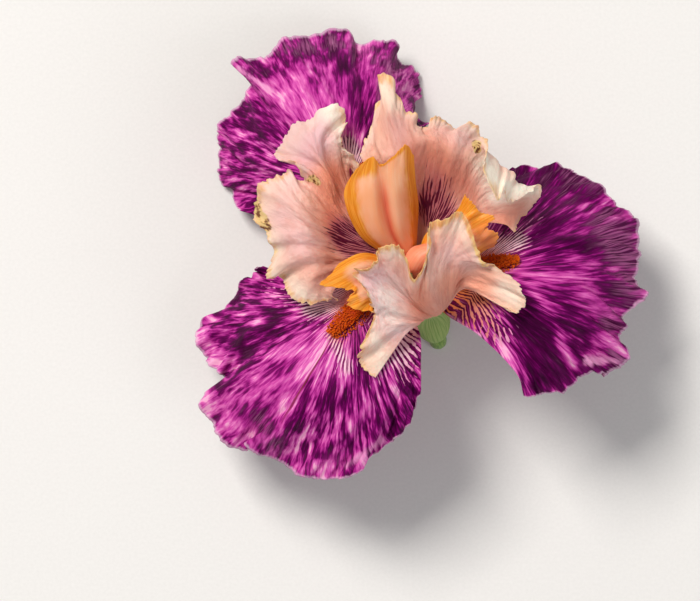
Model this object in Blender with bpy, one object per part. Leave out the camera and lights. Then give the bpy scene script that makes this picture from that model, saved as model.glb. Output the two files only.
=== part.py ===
"""One bloom of a ruffled tall bearded iris, picked just below its ovary and laid on its back, face up.

Three falls arch out, three standards rise between them, and three style arms lie over the falls' beards.
Metres, +Z up. The origin is on the surface that the bloom lies on, under the middle of its bounding box.
Every petal is a loft: a sheet drawn through a few lines that cross it, from its foot on the tube to its hem.
"""

import math

import bpy
import numpy as np

MM = 0.001

# Where the bloom lies, in millimetres: its throat above the surface, and how its axis leans.
THROAT = np.array([-1.2, -8.8, 40.0])
AXIS_LEAN = math.radians(35)
AXIS_HEADING = math.radians(110)

# Driving sizes, in millimetres and degrees. Heights run up the bloom's axis from its throat.
BLADE_THICK = 0.7
PIECE_GAP = 0.3
TUBE_TOP = -1.6
TUBE_RIM_HEIGHT = 0.0
TUBE_STEP_RADIUS = 4.6
TUBE_LENGTH = 14.0
TUBE_RADIUS = 6.0
TUBE_FOOT_RADIUS = 3.4
OVARY_LENGTH = 20.0
OVARY_RADIUS = 4.3
STUB_RADIUS = 3.1
STUB_LEAN = np.array([-0.24, 0.66, 0.0])
SPATHE_RADIUS = 5.6
SPATHE_WRAP = 82
FRONT_HEADING = -70
COLUMN_RADIUS = 1.5
COLUMN_HEIGHT = 8.5
ARM_FOOT_SPREAD = 40
FALL_FOOT_RADIUS = 5.5
FALL_FOOT_HEIGHT = -0.6
FALL_FOOT_SPREAD = 46
FALL_WAVES = 10
FALL_WAVE_DEPTH = 2.6
STANDARD_FOOT_RADIUS = 4.0
STANDARD_FOOT_HEIGHT = 0.7
STANDARD_FOOT_SPREAD = 42
STANDARD_WAVES = 10
STANDARD_WAVE_DEPTH = 1.4
BEARD_HALF_WIDTH = 2.7
BEARD_HEIGHT = 2.7
BEARD_START = 0.17
FILAMENT_RADIUS = 0.5
ANTHER_RADIUS = 1.0
STAMEN_LIFT = 0.62

# Mesh density: columns across and rows along.
FALL_GRID = (52, 10)
STANDARD_GRID = (44, 9)
ARM_GRID = (14, 8)
BEARD_GRID = (4, 18)
SPATHE_GRID = (10, 8)

# The bloom's own directions: up its axis, and one square to that.
AXIS = np.array([
    math.sin(AXIS_LEAN) * math.cos(AXIS_HEADING),
    math.sin(AXIS_LEAN) * math.sin(AXIS_HEADING),
    math.cos(AXIS_LEAN),
])
SIDE = np.cross(AXIS, np.cross(np.array([1.0, 0.0, 0.0]), AXIS))
SIDE /= np.linalg.norm(SIDE)

# Lines across each petal, in millimetres from the throat: x to the right, y up the bloom, z off the surface.
# Each line runs clockwise as seen from above, and the lines follow each other from the foot to the hem.
FALL_BACK = {
    "heading": 118,
    "haft": ((-18, 12, -3), (-14, 14.5, 0), (-9, 17, 1.5), (-4, 19.5, -1), (0, 21.5, -5)),
    "shoulder": ((-37, 24, -6), (-28, 29.5, 3), (-18, 35, 7.5), (-9, 40, 2), (-1, 44, -8)),
    "belly": (
        (-48, 21, -22), (-55, 36, -22), (-48, 49, -11), (-32, 58, -1), (-18, 63, -4), (-8, 62, -14), (2, 51, -25),
    ),
    "hem": (
        (-58, 22.5, -31), (-65.5, 29.5, -36), (-69, 39.5, -39.6), (-69, 49, -38), (-65.5, 58, -32), (-57, 65.5, -25),
        (-63.5, 74, -22), (-53.5, 78, -24), (-43, 83, -27), (-29.5, 86.5, -29), (-18, 83.3, -26), (-8, 80, -30),
        (-0.5, 73.5, -37), (2.5, 68, -39.6), (-1, 62, -38), (5, 55, -34),
    ),
}
FALL_RIGHT = {
    "heading": -10,
    "haft": ((11, 17, -9), (15, 11, 0), (17, 4, 7), (16, -3, 9), (13, -8.5, 8), (9, -12, 4)),
    "shoulder": ((22, 30, -14), (29, 21, 0), (33, 11, 11), (34, 3, 16), (31, -6, 19), (26, -15, 19), (21, -20, 15)),
    "belly": ((28, 34, -19), (43, 31, -10), (53, 18, 3), (55, 3, 12), (52, -10, 17), (44, -22, 20), (33, -32, 19)),
    "hem": (
        (34, 37.5, -23), (45, 39, -20), (53, 37.5, -16), (63, 32, -13), (70.5, 24.5, -12), (77, 18, -12),
        (77, 8.5, -8), (76, 0, -4), (78, -7.3, -2), (71.5, -15, 3), (70, -20, 6), (72, -28, 5),
        (66, -34, 7), (59, -33, 12), (52, -38, 13), (44, -40.5, 15), (36, -40, 16),
    ),
}
FALL_LEFT = {
    "heading": -130,
    "haft": ((-1, -12, 3), (-6, -12, 9), (-13.5, -7, 10), (-18, -2, 4), (-20, 4, -4)),
    "shoulder": (
        (1.2, -21, 11), (-6, -27, 17), (-16, -25, 18), (-26, -20, 17), (-33, -12, 11), (-38, -5, 1), (-40, 1, -9),
    ),
    "belly": (
        (1.2, -32, 16), (-8, -44, 16), (-22, -48, 15), (-43, -41, 13), (-53, -29, 5), (-57, -16, -6),
        (-54, -4, -14), (-46, 2, -15),
    ),
    "hem": (
        (1.4, -40, 15), (-3, -50.5, 13), (-10.5, -58, 11), (-20, -66, 6), (-29, -70, 3), (-39, -68.5, 0),
        (-50, -63.5, -3), (-57, -58, -1), (-61, -60.5, -6), (-68.5, -55, -11), (-73.5, -46, -17), (-71, -39.5, -17),
        (-66.5, -34, -14), (-73.5, -29, -21), (-75, -18.3, -26), (-67, -8.5, -25), (-56.5, -1, -21),
        (-56, 3, -19), (-52, 3.5, -17),
    ),
}
STANDARD_RIGHT = {
    "heading": 54,
    "claw": ((-1, 16.5, 3), (1.5, 17, 6), (4.5, 15.5, 7.5), (7.5, 12.5, 8.5), (8.5, 9, 9)),
    "belly": ((-13, 32, 14), (-8, 33, 14.5), (0, 31, 15), (9, 28, 15), (15, 24, 16), (19, 20, 18), (21, 17, 19)),
    "ridge": (
        (-18, 39, 16), (-11, 41.5, 24), (-4, 44.5, 28), (4, 45.5, 30), (12, 42.5, 29), (19, 38.5, 26),
        (22, 32, 23), (24.5, 25.5, 21), (27, 18, 20.5),
    ),
    "fold": (
        (-18.3, 40, 14.5), (-14.5, 48, 17), (-11, 56, 16), (-4.5, 52.5, 22), (2, 48.5, 27), (9, 49.5, 26),
        (17, 46.5, 24.5), (23.5, 42, 23), (30, 36.5, 21), (34, 32, 19), (38, 27, 15.5), (30.5, 17, 19.5),
    ),
    "hem": (
        (-18.5, 41, 13), (-17.5, 47, 13), (-14.5, 56, 8), (-11, 62, 5), (-13, 68.5, 5), (-8, 67.5, 8),
        (-5.5, 60, 12), (-1, 54, 18), (1, 50, 23), (5, 53.5, 22), (9, 53, 19), (14, 50, 20), (18.5, 51, 18),
        (22, 48.5, 20.5), (24, 43, 26.5), (22, 36.5, 33), (26.5, 25.5, 34), (29, 29.5, 31), (30, 25.5, 28.5), (34.5, 26, 25),
        (41.5, 31, 14), (41.5, 27, 12), (36.5, 20, 15), (33, 14.6, 18),
    ),
}
STANDARD_LEFT = {
    "heading": 178,
    "claw": ((-9, 4, 7), (-11, 6, 7), (-12, 8.5, 6), (-11.5, 11, 4.5), (-9.5, 12.5, 3.5)),
    "belly": (
        (-23, 0, 14), (-25, 5, 14.5), (-26, 11, 13), (-26, 18, 12), (-25.5, 23.5, 11), (-24, 28, 10.5), (-22, 31.5, 10.5),
    ),
    "ridge": (
        (-29, -6, 18), (-36, 1, 23), (-40, 9, 25), (-41, 18, 25), (-40, 25, 23), (-35, 30, 18), (-33, 37, 19),
        (-34, 45, 21), (-27.5, 44, 19), (-23, 37, 14),
    ),
    "hem": (
        (-27, -8, 17), (-33, -9, 18), (-40, -8.5, 18), (-44.5, -4.5, 16), (-47, -1, 13), (-50.5, 1, 12),
        (-49.5, 8, 14), (-50, 14, 14), (-56.5, 20, 9), (-55, 26, 8), (-52, 31.5, 9), (-47, 35, 10),
        (-43, 35.3, 10), (-40.5, 33.2, 12.5), (-38.7, 34.4, 16), (-41, 38.3, 18.5), (-48.5, 41, 14), (-46, 45, 13),
        (-42, 52, 12), (-35, 55, 11), (-26.5, 57, 12), (-23.5, 53, 14), (-26, 47, 17), (-24, 43, 16),
        (-20, 38.5, 13), (-21.5, 35, 12),
    ),
}
STANDARD_FRONT = {
    "heading": -66,
    "claw": ((9.5, -9.5, 12), (9, -11.5, 13), (7, -13, 14), (4.5, -13.8, 14.5), (1.5, -14, 14)),
    "belly": (
        (17.5, -4.5, 22.5), (18.5, 1, 27), (15.5, 5, 32), (9, 6, 33.5), (3, -2, 31), (-1, -7, 28), (-7, -1, 31),
        (-13, -1, 30), (-12, -9, 27), (-10, -16, 24), (-5, -21, 20),
    ),
    "hem": (
        (29, -10.9, 27), (34, -12, 27), (36.5, -8.5, 28), (35, -4, 29), (31, 0.5, 29), (26.2, 3.2, 29),
        (22.5, 5, 31), (20.5, 8, 34), (17.5, 16, 38), (14, 21.5, 38), (9, 19, 40), (5, 17.5, 40.5),
        (1.8, 14.5, 40), (2.4, 9.5, 39), (2, 4.5, 37.5), (-0.7, -0.7, 35), (-4, 4.8, 38), (-6, 9, 40),
        (-9, 11.2, 40), (-13.3, 9, 38), (-13.8, 5.5, 37), (-17, 3, 35), (-21.3, 1.7, 33), (-20.5, -1.5, 31),
        (-17.5, -5, 29), (-15.3, -11, 27), (-14.5, -14, 26), (-17.5, -20, 24), (-20, -26, 22),
        (-18.5, -31, 21), (-14.3, -34.5, 20),
    ),
}
ARM_BACK = {
    "heading": 118,
    "low": (
        (-18.5, 13, 12), (-16, 14.5, 15.5), (-12, 15, 17), (-8.5, 15, 14.5), (-5.5, 16, 17), (-2, 16.5, 15), (0, 16, 11),
    ),
    "high": (
        (-24, 23.5, 16), (-20, 26, 21), (-15, 27, 24), (-11, 26.5, 21), (-7.5, 27, 24.5), (-3, 27.5, 22),
        (0.3, 25.5, 17),
    ),
    "neck": (
        (-24.5, 30, 19), (-20, 34, 24), (-15.5, 36, 28), (-12, 35, 26), (-8.5, 36, 29), (-4, 37, 29), (-1, 34.5, 23),
    ),
    "crest": (
        (-22.5, 34, 22), (-18, 38.5, 28), (-15, 40, 30), (-12.3, 37.5, 28), (-8, 40.5, 32), (-4, 44, 34),
        (-1.3, 40.5, 29),
    ),
}
ARM_RIGHT = {
    "heading": -10,
    "low": ((3, 14, 13), (5, 12, 17), (6, 8, 16), (6.5, 4, 18), (5.5, 0, 14)),
    "high": ((10, 19, 21), (12.5, 16.5, 26), (14.5, 12, 25), (16, 8, 27), (16, 3.5, 21)),
    "neck": ((14, 23, 25), (17, 20.5, 30), (19.5, 16.5, 28), (22, 12.5, 29), (22.5, 8.5, 23)),
    "crest": ((16, 27, 28), (18.5, 24.5, 32), (21, 21.5, 30), (25.8, 19.8, 31), (23, 16.5, 29.5), (27, 14, 30), (26, 9.5, 24)),
}
ARM_LEFT = {
    "heading": -130,
    "low": ((-8, -5, 13), (-10.5, -3, 16), (-12.5, 0, 15.5), (-13, 3.5, 16), (-13, 7, 12)),
    "high": ((-14.5, -9, 19), (-18, -6.5, 22), (-20.5, -2, 21.5), (-21, 3, 22), (-20, 7.5, 18)),
    "crest": (
        (-15, -12, 21), (-22, -11, 23), (-23.5, -8, 24), (-21.5, -5, 23.5), (-27, -4, 25), (-33, -3, 26),
        (-30, 0, 25), (-26, 4.5, 21),
    ),
}

# Linear colours and roughness for the plain materials.
COLOURS = {
    "fall_magenta": ((0.40, 0.05, 0.34, 1.0), 0.55),
    "standard_peach": ((0.80, 0.52, 0.44, 1.0), 0.55),
    "style_apricot": ((0.80, 0.42, 0.20, 1.0), 0.5),
    "beard_orange": ((0.62, 0.16, 0.01, 1.0), 0.8),
    "stamen_cream": ((0.80, 0.70, 0.48, 1.0), 0.7),
    "tube_green": ((0.42, 0.50, 0.20, 1.0), 0.5),
    "ovary_green": ((0.16, 0.30, 0.07, 1.0), 0.45),
    "spathe_green": ((0.24, 0.36, 0.12, 1.0), 0.6),
}


def clear_scene():
    for old in list(bpy.data.objects):
        bpy.data.objects.remove(old, do_unlink=True)


def material(name):
    colour, roughness = COLOURS[name]
    made = bpy.data.materials.get(name) or bpy.data.materials.new(name)
    made.use_nodes = True
    shader = made.node_tree.nodes["Principled BSDF"]
    shader.inputs["Base Color"].default_value = colour
    shader.inputs["Roughness"].default_value = roughness
    shader.inputs["Metallic"].default_value = 0.0
    return made


def even(count):
    return np.linspace(0.0, 1.0, count)


def curve_through(points, stations, wanted):
    """Points at the wanted stations of a smooth curve through the given points.

    Each span is a cubic. Its end slopes are finite differences, shortened to 1.5 times the slower of the two
    spans that meet there, so that the curve never overshoots where the points come close together.
    """
    points = np.asarray(points, float)
    slopes = np.gradient(points, stations, axis=0)
    steps = np.diff(stations).reshape((-1,) + (1,) * (points.ndim - 1))
    speed = np.linalg.norm(np.diff(points, axis=0) / steps, axis=-1, keepdims=True)
    slowest = np.minimum(np.concatenate([speed[:1], speed]), np.concatenate([speed, speed[-1:]]))
    fastest = np.maximum(np.linalg.norm(slopes, axis=-1, keepdims=True), 1e-9)
    slopes = slopes * np.minimum(1, 1.5 * slowest / fastest)
    span = np.clip(np.searchsorted(stations, wanted, side="right") - 1, 0, len(stations) - 2)
    width = (stations[span + 1] - stations[span]).reshape((-1,) + (1,) * (points.ndim - 1))
    t = ((wanted - stations[span]) / (stations[span + 1] - stations[span])).reshape(width.shape)
    start = (1 + 2 * t) * (1 - t) ** 2 * points[span] + t * (1 - t) ** 2 * width * slopes[span]
    end = t**2 * (3 - 2 * t) * points[span + 1] + t**2 * (t - 1) * width * slopes[span + 1]
    return start + end


def unit(vectors):
    return vectors / np.maximum(np.linalg.norm(vectors, axis=-1, keepdims=True), 1e-9)


def radial(heading, radius, height):
    """Points round the bloom's axis, at headings in degrees counted the way they look from above."""
    angle = np.radians(np.asarray(heading, float))
    flat = np.stack([np.cos(angle), np.sin(angle), np.zeros_like(angle)], axis=-1)
    out = unit(flat - (flat @ AXIS)[..., None] * AXIS)
    return out * np.asarray(radius)[..., None] + np.asarray(height)[..., None] * AXIS


def foot_line(heading, spread, radius, height):
    """The arc where a petal or an arm starts, clockwise as seen from above."""
    return radial(heading + np.linspace(spread, -spread, 7), radius, height)


def loft(lines, across, along):
    """A sheet through the lines: along each line first, then from line to line, spaced by their mean distance."""
    combed = np.array([curve_through(line, even(len(line)), even(across + 1)) for line in lines])
    steps = np.linalg.norm(np.diff(combed, axis=0), axis=2).mean(axis=1)
    stations = np.concatenate([[0.0], np.cumsum(steps)])
    return curve_through(combed, stations / stations[-1], even(along + 1))


def eased(grid):
    """Each point moved half-way to the mean of its neighbours, along the rows and then down the columns."""
    for axis in (0, 1):
        before = np.concatenate([np.take(grid, [0], axis), np.delete(grid, -1, axis)], axis)
        after = np.concatenate([np.delete(grid, 0, axis), np.take(grid, [-1], axis)], axis)
        grid = 0.5 * grid + 0.25 * (before + after)
    return grid


def normals_of(sheet):
    """Normals of a sheet, eased so that the two faces of a blade don't cross in a tight crease."""
    normals = unit(np.cross(np.gradient(sheet, axis=1), np.gradient(sheet, axis=0)))
    return unit(eased(eased(normals)))


def ruffle(sheet, waves, depth, turn):
    """Waves that grow towards the hem, pushed along the sheet's normal. Two wave trains keep them uneven."""
    s = even(sheet.shape[0])[:, None]
    a = even(sheet.shape[1])[None, :]
    wave = 0.7 * np.sin(2 * math.pi * waves * a + turn) + 0.3 * np.sin(2 * math.pi * 0.57 * waves * a + 2.3 * turn)
    return sheet + (depth * wave * s**3)[..., None] * normals_of(sheet)


def solid(name, points, faces, finish):
    mesh = bpy.data.meshes.new(name)
    mesh.from_pydata(((points + THROAT) * MM).tolist(), [], faces.tolist())
    mesh.materials.append(material(finish))
    mesh.shade_smooth()
    made = bpy.data.objects.new(name, mesh)
    bpy.context.scene.collection.objects.link(made)
    return made


def slab(name, lower, upper, finish):
    """A closed solid between two grids of points, split into triangles alike on both faces."""
    rows, columns = lower.shape[0], lower.shape[1]
    points = np.concatenate([lower.reshape(-1, 3), upper.reshape(-1, 3)])
    index = np.arange(rows * columns).reshape(rows, columns)
    a, b = index[:-1, :-1].ravel(), index[:-1, 1:].ravel()
    c, d = index[1:, 1:].ravel(), index[1:, :-1].ravel()
    under = np.concatenate([np.stack([a, c, b], 1), np.stack([a, d, c], 1)])
    over = under[:, ::-1] + rows * columns
    rim = np.concatenate([index[0, :], index[1:, -1], index[-1, -2::-1], index[-2:0:-1, 0]])
    after = np.roll(rim, -1)
    above, above_after = rim + rows * columns, after + rows * columns
    wall = np.concatenate([np.stack([rim, after, above_after], 1), np.stack([rim, above_after, above], 1)])
    return solid(name, points, np.concatenate([under, over, wall]), finish)


def blade(name, sheet, finish):
    half = 0.5 * BLADE_THICK * normals_of(sheet)
    return slab(name, sheet - half, sheet + half, finish)


def rod(name, path, radii, finish, sides=10, lobing=0.0, on_surface=False):
    """A solid carried along a path, with a radius at each point. Lobing swells it into three ribs.

    With on_surface, its far end is cut level: each point of it slides down the path to the surface.
    """
    path = np.asarray(path, float)
    tangent = unit(np.gradient(path, axis=0))
    first = unit(SIDE - (tangent @ SIDE)[:, None] * tangent)
    second = np.cross(tangent, first)
    turn = np.arange(sides) * 2 * math.pi / sides
    ring = first[:, None] * np.cos(turn)[None, :, None] + second[:, None] * np.sin(turn)[None, :, None]
    swell = np.asarray(radii, float)[:, None] * (1 + lobing * np.cos(3 * turn))[None, :]
    rings = path[:, None] + ring * swell[..., None]
    ends = path[[0, -1]].copy()
    if on_surface:
        slope = tangent[-1] / tangent[-1][2]
        rings[-1] -= (rings[-1][:, 2:] + THROAT[2]) * slope
        ends[1] -= (ends[1][2] + THROAT[2]) * slope
    points = np.concatenate([rings.reshape(-1, 3), ends])
    index = np.arange(len(path) * sides).reshape(len(path), sides)
    a, b = index[:-1], np.roll(index, -1, axis=1)[:-1]
    c, d = np.roll(index, -1, axis=1)[1:], index[1:]
    wall = np.concatenate([np.stack([a, b, c], 2).reshape(-1, 3), np.stack([a, c, d], 2).reshape(-1, 3)])
    start, end = len(path) * sides, len(path) * sides + 1
    near = np.stack([np.roll(index[0], -1), index[0], np.full(sides, start)], 1)
    far = np.stack([index[-1], np.roll(index[-1], -1), np.full(sides, end)], 1)
    return solid(name, points, np.concatenate([wall, near, far]), finish)


def fall(name, shape, turn):
    foot = foot_line(shape["heading"], FALL_FOOT_SPREAD, FALL_FOOT_RADIUS, FALL_FOOT_HEIGHT)
    lines = [foot, shape["haft"], shape["shoulder"], shape["belly"], shape["hem"]]
    sheet = ruffle(loft(lines, *FALL_GRID), FALL_WAVES, FALL_WAVE_DEPTH, turn)
    lowest = 0.5 * BLADE_THICK - THROAT[2]
    sheet[..., 2] = np.maximum(sheet[..., 2], lowest)
    blade(name, sheet, "fall_magenta")
    return sheet


def standard(name, shape, turn):
    foot = foot_line(shape["heading"], STANDARD_FOOT_SPREAD, STANDARD_FOOT_RADIUS, STANDARD_FOOT_HEIGHT)
    lines = [foot] + [shape[line] for line in ("claw", "belly", "ridge", "fold", "hem") if line in shape]
    sheet = ruffle(loft(lines, *STANDARD_GRID), STANDARD_WAVES, STANDARD_WAVE_DEPTH, turn)
    blade(name, sheet, "standard_peach")


def style_arm(name, shape):
    foot = foot_line(shape["heading"], ARM_FOOT_SPREAD, COLUMN_RADIUS + 0.9, COLUMN_HEIGHT - 1.0)
    lines = [foot] + [shape[line] for line in ("low", "high", "neck", "crest") if line in shape]
    sheet = loft(lines, *ARM_GRID)
    blade(name, sheet, "style_apricot")
    return sheet


def beard(name, fall_sheet, middle, end):
    """A tufted ridge along the haft, just above it: a hump that rises towards its free end, with raised tufts."""
    columns, rows = BEARD_GRID
    stations = np.linspace(BEARD_START, end, rows + 1)
    haft = curve_through(fall_sheet, even(fall_sheet.shape[0]), stations)
    out = curve_through(normals_of(fall_sheet), even(fall_sheet.shape[0]), stations)
    width = np.linalg.norm(np.diff(haft, axis=1), axis=2).sum(axis=1)
    side = np.linspace(-1, 1, columns + 1)
    at = middle + side[None, :] * BEARD_HALF_WIDTH / width[:, None]
    lower = np.array([curve_through(haft[row], even(haft.shape[1]), at[row]) for row in range(rows + 1)])
    lift = unit(np.array([curve_through(out[row], even(haft.shape[1]), at[row]) for row in range(rows + 1)]))
    run = even(rows + 1)[:, None]
    hump = np.sqrt(1 - (0.93 * side[None, :]) ** 2) * np.minimum(1, 0.35 + 1.1 * run) * (1 - run**8 * 0.6)
    row_sign = np.cos(math.pi * np.arange(rows + 1))[:, None]
    column_sign = np.cos(math.pi * np.arange(columns + 1))[None, :]
    height = 0.4 + BEARD_HEIGHT * hump * (1 + 0.16 * row_sign * column_sign)
    lower = lower + (0.5 * BLADE_THICK + PIECE_GAP) * lift
    slab(name, lower, lower + height[..., None] * lift, "beard_orange")


def stamen(name, shape, fall_sheet, arm_sheet):
    """A thin filament that ends in a long anther, between the fall's beard and the style arm above it."""
    half = fall_sheet.shape[1] // 2
    haft = curve_through(fall_sheet[:, half], even(fall_sheet.shape[0]), np.array([0.12, 0.2, 0.28, 0.34]))
    arm = curve_through(arm_sheet[:, arm_sheet.shape[1] // 2], even(arm_sheet.shape[0]), np.array([0.3, 0.5, 0.7, 0.84]))
    route = np.concatenate([radial(shape["heading"], 2.75, 0.9)[None], haft + STAMEN_LIFT * (arm - haft)])
    path = curve_through(route, even(len(route)), even(15))
    run = even(15)
    anther = np.clip((run - 0.5) / 0.08, 0, 1) * np.clip((1.03 - run) / 0.1, 0.3, 1)
    radii = FILAMENT_RADIUS + (ANTHER_RADIUS - FILAMENT_RADIUS) * anther
    rod(name, path, radii, "stamen_cream", sides=6)


def stem_parts():
    """The tube, the ovary and the stub follow each other down the axis."""
    step = TUBE_RIM_HEIGHT - TUBE_TOP
    down = np.concatenate([[TUBE_TOP + step, TUBE_TOP + 0.1 * step], np.linspace(TUBE_TOP, TUBE_TOP - TUBE_LENGTH, 8)])
    radii = TUBE_FOOT_RADIUS + (TUBE_RADIUS - TUBE_FOOT_RADIUS) * (1 - even(8)) ** 2.2
    radii = np.concatenate([[TUBE_STEP_RADIUS, TUBE_STEP_RADIUS], radii])
    rod("perianth_tube", down[:, None] * AXIS, radii, "tube_green", sides=14)
    ovary_start = TUBE_TOP - TUBE_LENGTH - PIECE_GAP
    down = np.linspace(ovary_start, ovary_start - OVARY_LENGTH, 11)
    radii = np.linspace(TUBE_FOOT_RADIUS - 0.2, STUB_RADIUS, 11)
    radii = radii + (OVARY_RADIUS - radii) * np.sin(math.pi * even(11)) ** 0.8
    rod("ovary", down[:, None] * AXIS, radii, "ovary_green", sides=15, lobing=0.07)
    stub_start = ovary_start - OVARY_LENGTH - PIECE_GAP
    top = stub_start * AXIS
    fall_to = -THROAT[2] - top[2]
    path = top + fall_to * even(6)[:, None] * (STUB_LEAN * (1 - 0.6 * even(6)[:, None]) + np.array([0.0, 0.0, 1.0]))
    rod("stem_stub", path, np.full(6, STUB_RADIUS), "ovary_green", sides=14, on_surface=True)
    return stub_start


def spathe(name, heading, foot_radius, full_radius, foot_height, tip_height):
    """A papery bract that wraps the ovary: a sheet bent round the axis, close on the stem at its foot, to a tip."""
    across, along = SPATHE_GRID
    run = even(along + 1)[:, None]
    side = np.linspace(1, -1, across + 1)[None, :]
    half_angle = SPATHE_WRAP * (1 - 0.97 * run**2.4)
    height = foot_height + (tip_height - foot_height) * run
    radius = full_radius - (full_radius - foot_radius) * (1 - run) ** 5 + 2.4 * run**3
    sheet = radial(heading + side * half_angle, radius + 0 * side, height + 0 * side)
    blade(name, sheet, "spathe_green")


def style_column():
    heights = np.array([TUBE_RIM_HEIGHT + PIECE_GAP, 2.0, 5.0, COLUMN_HEIGHT - 0.5, COLUMN_HEIGHT + 0.8])
    radii = COLUMN_RADIUS * np.array([0.95, 0.85, 0.9, 1.0, 0.55])
    rod("style_column", heights[:, None] * AXIS, radii, "style_apricot", sides=10)


def main():
    clear_scene()
    back = fall("fall_back", FALL_BACK, 0.4)
    right = fall("fall_right", FALL_RIGHT, 1.9)
    left = fall("fall_left", FALL_LEFT, 3.1)
    standard("standard_right", STANDARD_RIGHT, 0.9)
    standard("standard_left", STANDARD_LEFT, 2.2)
    standard("standard_front", STANDARD_FRONT, 4.0)
    arm_back = style_arm("style_arm_back", ARM_BACK)
    arm_right = style_arm("style_arm_right", ARM_RIGHT)
    arm_left = style_arm("style_arm_left", ARM_LEFT)
    beard("beard_back", back, 0.5, 0.44)
    beard("beard_right", right, 0.46, 0.46)
    beard("beard_left", left, 0.53, 0.42)
    stamen("stamen_back", FALL_BACK, back, arm_back)
    stamen("stamen_right", FALL_RIGHT, right, arm_right)
    stamen("stamen_left", FALL_LEFT, left, arm_left)
    style_column()
    stub_start = stem_parts()
    seat = STUB_RADIUS + 0.5 * BLADE_THICK + PIECE_GAP
    spathe("spathe_outer", FRONT_HEADING, seat, SPATHE_RADIUS + 1.1, stub_start - 0.4, -11.0)
    spathe("spathe_inner", FRONT_HEADING + 180, seat + 0.4, SPATHE_RADIUS, stub_start + 0.8, -8.0)


main()
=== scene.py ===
# %% [markdown]
# # A ruffled bearded iris, dressed for the camera
#
# The bloom was cut just below its ovary and lies on its back on a pale table. Three spotted falls arch
# down, three peach standards rise between them, and three style arms roof the furry beards. The packed
# model gives every piece its place, so this script starts from that frame, and each finer piece is worked
# out by the same formulas.

# %% Load the frame
import functools
import math

import bpy
import numpy as np
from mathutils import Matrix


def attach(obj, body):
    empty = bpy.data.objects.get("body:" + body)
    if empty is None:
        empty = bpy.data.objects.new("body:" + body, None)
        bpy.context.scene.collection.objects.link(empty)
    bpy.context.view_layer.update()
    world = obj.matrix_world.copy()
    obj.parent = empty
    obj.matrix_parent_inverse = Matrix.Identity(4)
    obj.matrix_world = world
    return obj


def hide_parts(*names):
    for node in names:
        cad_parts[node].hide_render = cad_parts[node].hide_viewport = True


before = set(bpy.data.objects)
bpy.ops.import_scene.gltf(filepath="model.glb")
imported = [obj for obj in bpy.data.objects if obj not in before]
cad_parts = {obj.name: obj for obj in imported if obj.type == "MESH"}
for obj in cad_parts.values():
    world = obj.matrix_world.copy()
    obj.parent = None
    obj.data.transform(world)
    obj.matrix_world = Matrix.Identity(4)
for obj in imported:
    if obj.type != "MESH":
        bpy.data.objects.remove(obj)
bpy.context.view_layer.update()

MM = 0.001

# %% [markdown]
# ## The bloom's own directions
#
# An iris is built round one axis, its tube. Every outline below is in millimetres from the throat, where
# the tube opens, so one point and one axis place the whole flower. The bloom lies back, with its face
# towards the camera.

# %% Throat, axis and shared sizes
THROAT = np.array([-1.2, -8.8, 40.0])
AXIS_LEAN = math.radians(35)
AXIS_HEADING = math.radians(110)
AXIS = np.array([
    math.sin(AXIS_LEAN) * math.cos(AXIS_HEADING),
    math.sin(AXIS_LEAN) * math.sin(AXIS_HEADING),
    math.cos(AXIS_LEAN),
])
SIDE = np.cross(AXIS, np.cross(np.array([1.0, 0.0, 0.0]), AXIS))
SIDE /= np.linalg.norm(SIDE)
BLADE_THICK = 0.7
PIECE_GAP = 0.3
print("the tube points along", AXIS.round(3), "and opens at", THROAT, "mm")

# %% [markdown]
# ## Camera, table and light
#
# The photograph looks down into the throat, so the camera hangs straight above it with a long lens, which
# keeps near and far petals at one scale. A wide lens close by would swell the middle. The picture is 238 mm
# wide at the height of the throat, and that sets the focal length.

# %% Hang the camera
CAMERA_HEIGHT = 1.5
VIEW_WIDTH = 0.238
SENSOR_WIDTH = 36
PICTURE_MIDDLE = np.array([-22.8, -8.3, 15.0])
look_at = THROAT + PICTURE_MIDDLE
lens = bpy.data.cameras.new("camera")
lens.sensor_width = SENSOR_WIDTH
lens.lens = SENSOR_WIDTH * CAMERA_HEIGHT / VIEW_WIDTH
camera = bpy.data.objects.new("camera", lens)
camera.location = look_at * MM + np.array([0.0, 0.0, CAMERA_HEIGHT])
bpy.context.scene.collection.objects.link(camera)
bpy.context.scene.camera = camera
print("lens:", round(lens.lens, 1), "mm, above", look_at, "mm")

# %% [markdown]
# ## Writing a finish as a list of steps
#
# A finish is a small net of nodes. These helpers add one node each to the net on the bench, so that a
# petal's paint reads as a recipe: take a grain, stretch it along the veins, turn it into colour. Handing
# the net to each of them would work too, but it would bury the recipe. Colours are written as the screen
# shows them.


# %% Node helpers
BENCH = {}


def screen(red, green, blue):
    """A colour as the screen shows it, 0 to 255, turned into the straight scale that light adds up in."""
    share = np.array([red, green, blue]) / 255
    return (*np.where(share < 0.04045, share / 12.92, ((share + 0.055) / 1.055) ** 2.4), 1.0)


def step(kind, inputs, **settings):
    """One node on the bench: its settings, then each input either linked to a socket or given a value."""
    net = BENCH["net"]
    made = net.nodes.new("ShaderNode" + kind)
    for key, value in settings.items():
        setattr(made, key, value)
    for key, value in inputs.items():
        if isinstance(value, bpy.types.NodeSocket):
            net.links.new(value, made.inputs[key])
        else:
            made.inputs[key].default_value = value
    return made


def mask(name):
    """A soft mask that the piece carries at its points."""
    return step("Attribute", {}, attribute_name=name).outputs["Fac"]


def calc(operation, first, second=0.0, third=0.0):
    """One piece of arithmetic on up to three numbers, each a socket or a value."""
    return step("Math", {0: first, 1: second, 2: third}, operation=operation).outputs[0]


def times(first, second):
    """The product of two numbers."""
    return calc("MULTIPLY", first, second)


def plus(first, second):
    """The sum of two numbers."""
    return calc("ADD", first, second)


def swing(noise, reach):
    """A noise of 0 to 1 turned into a number from -reach / 2 to reach / 2."""
    return calc("MULTIPLY_ADD", noise, reach, -0.5 * reach)


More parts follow.
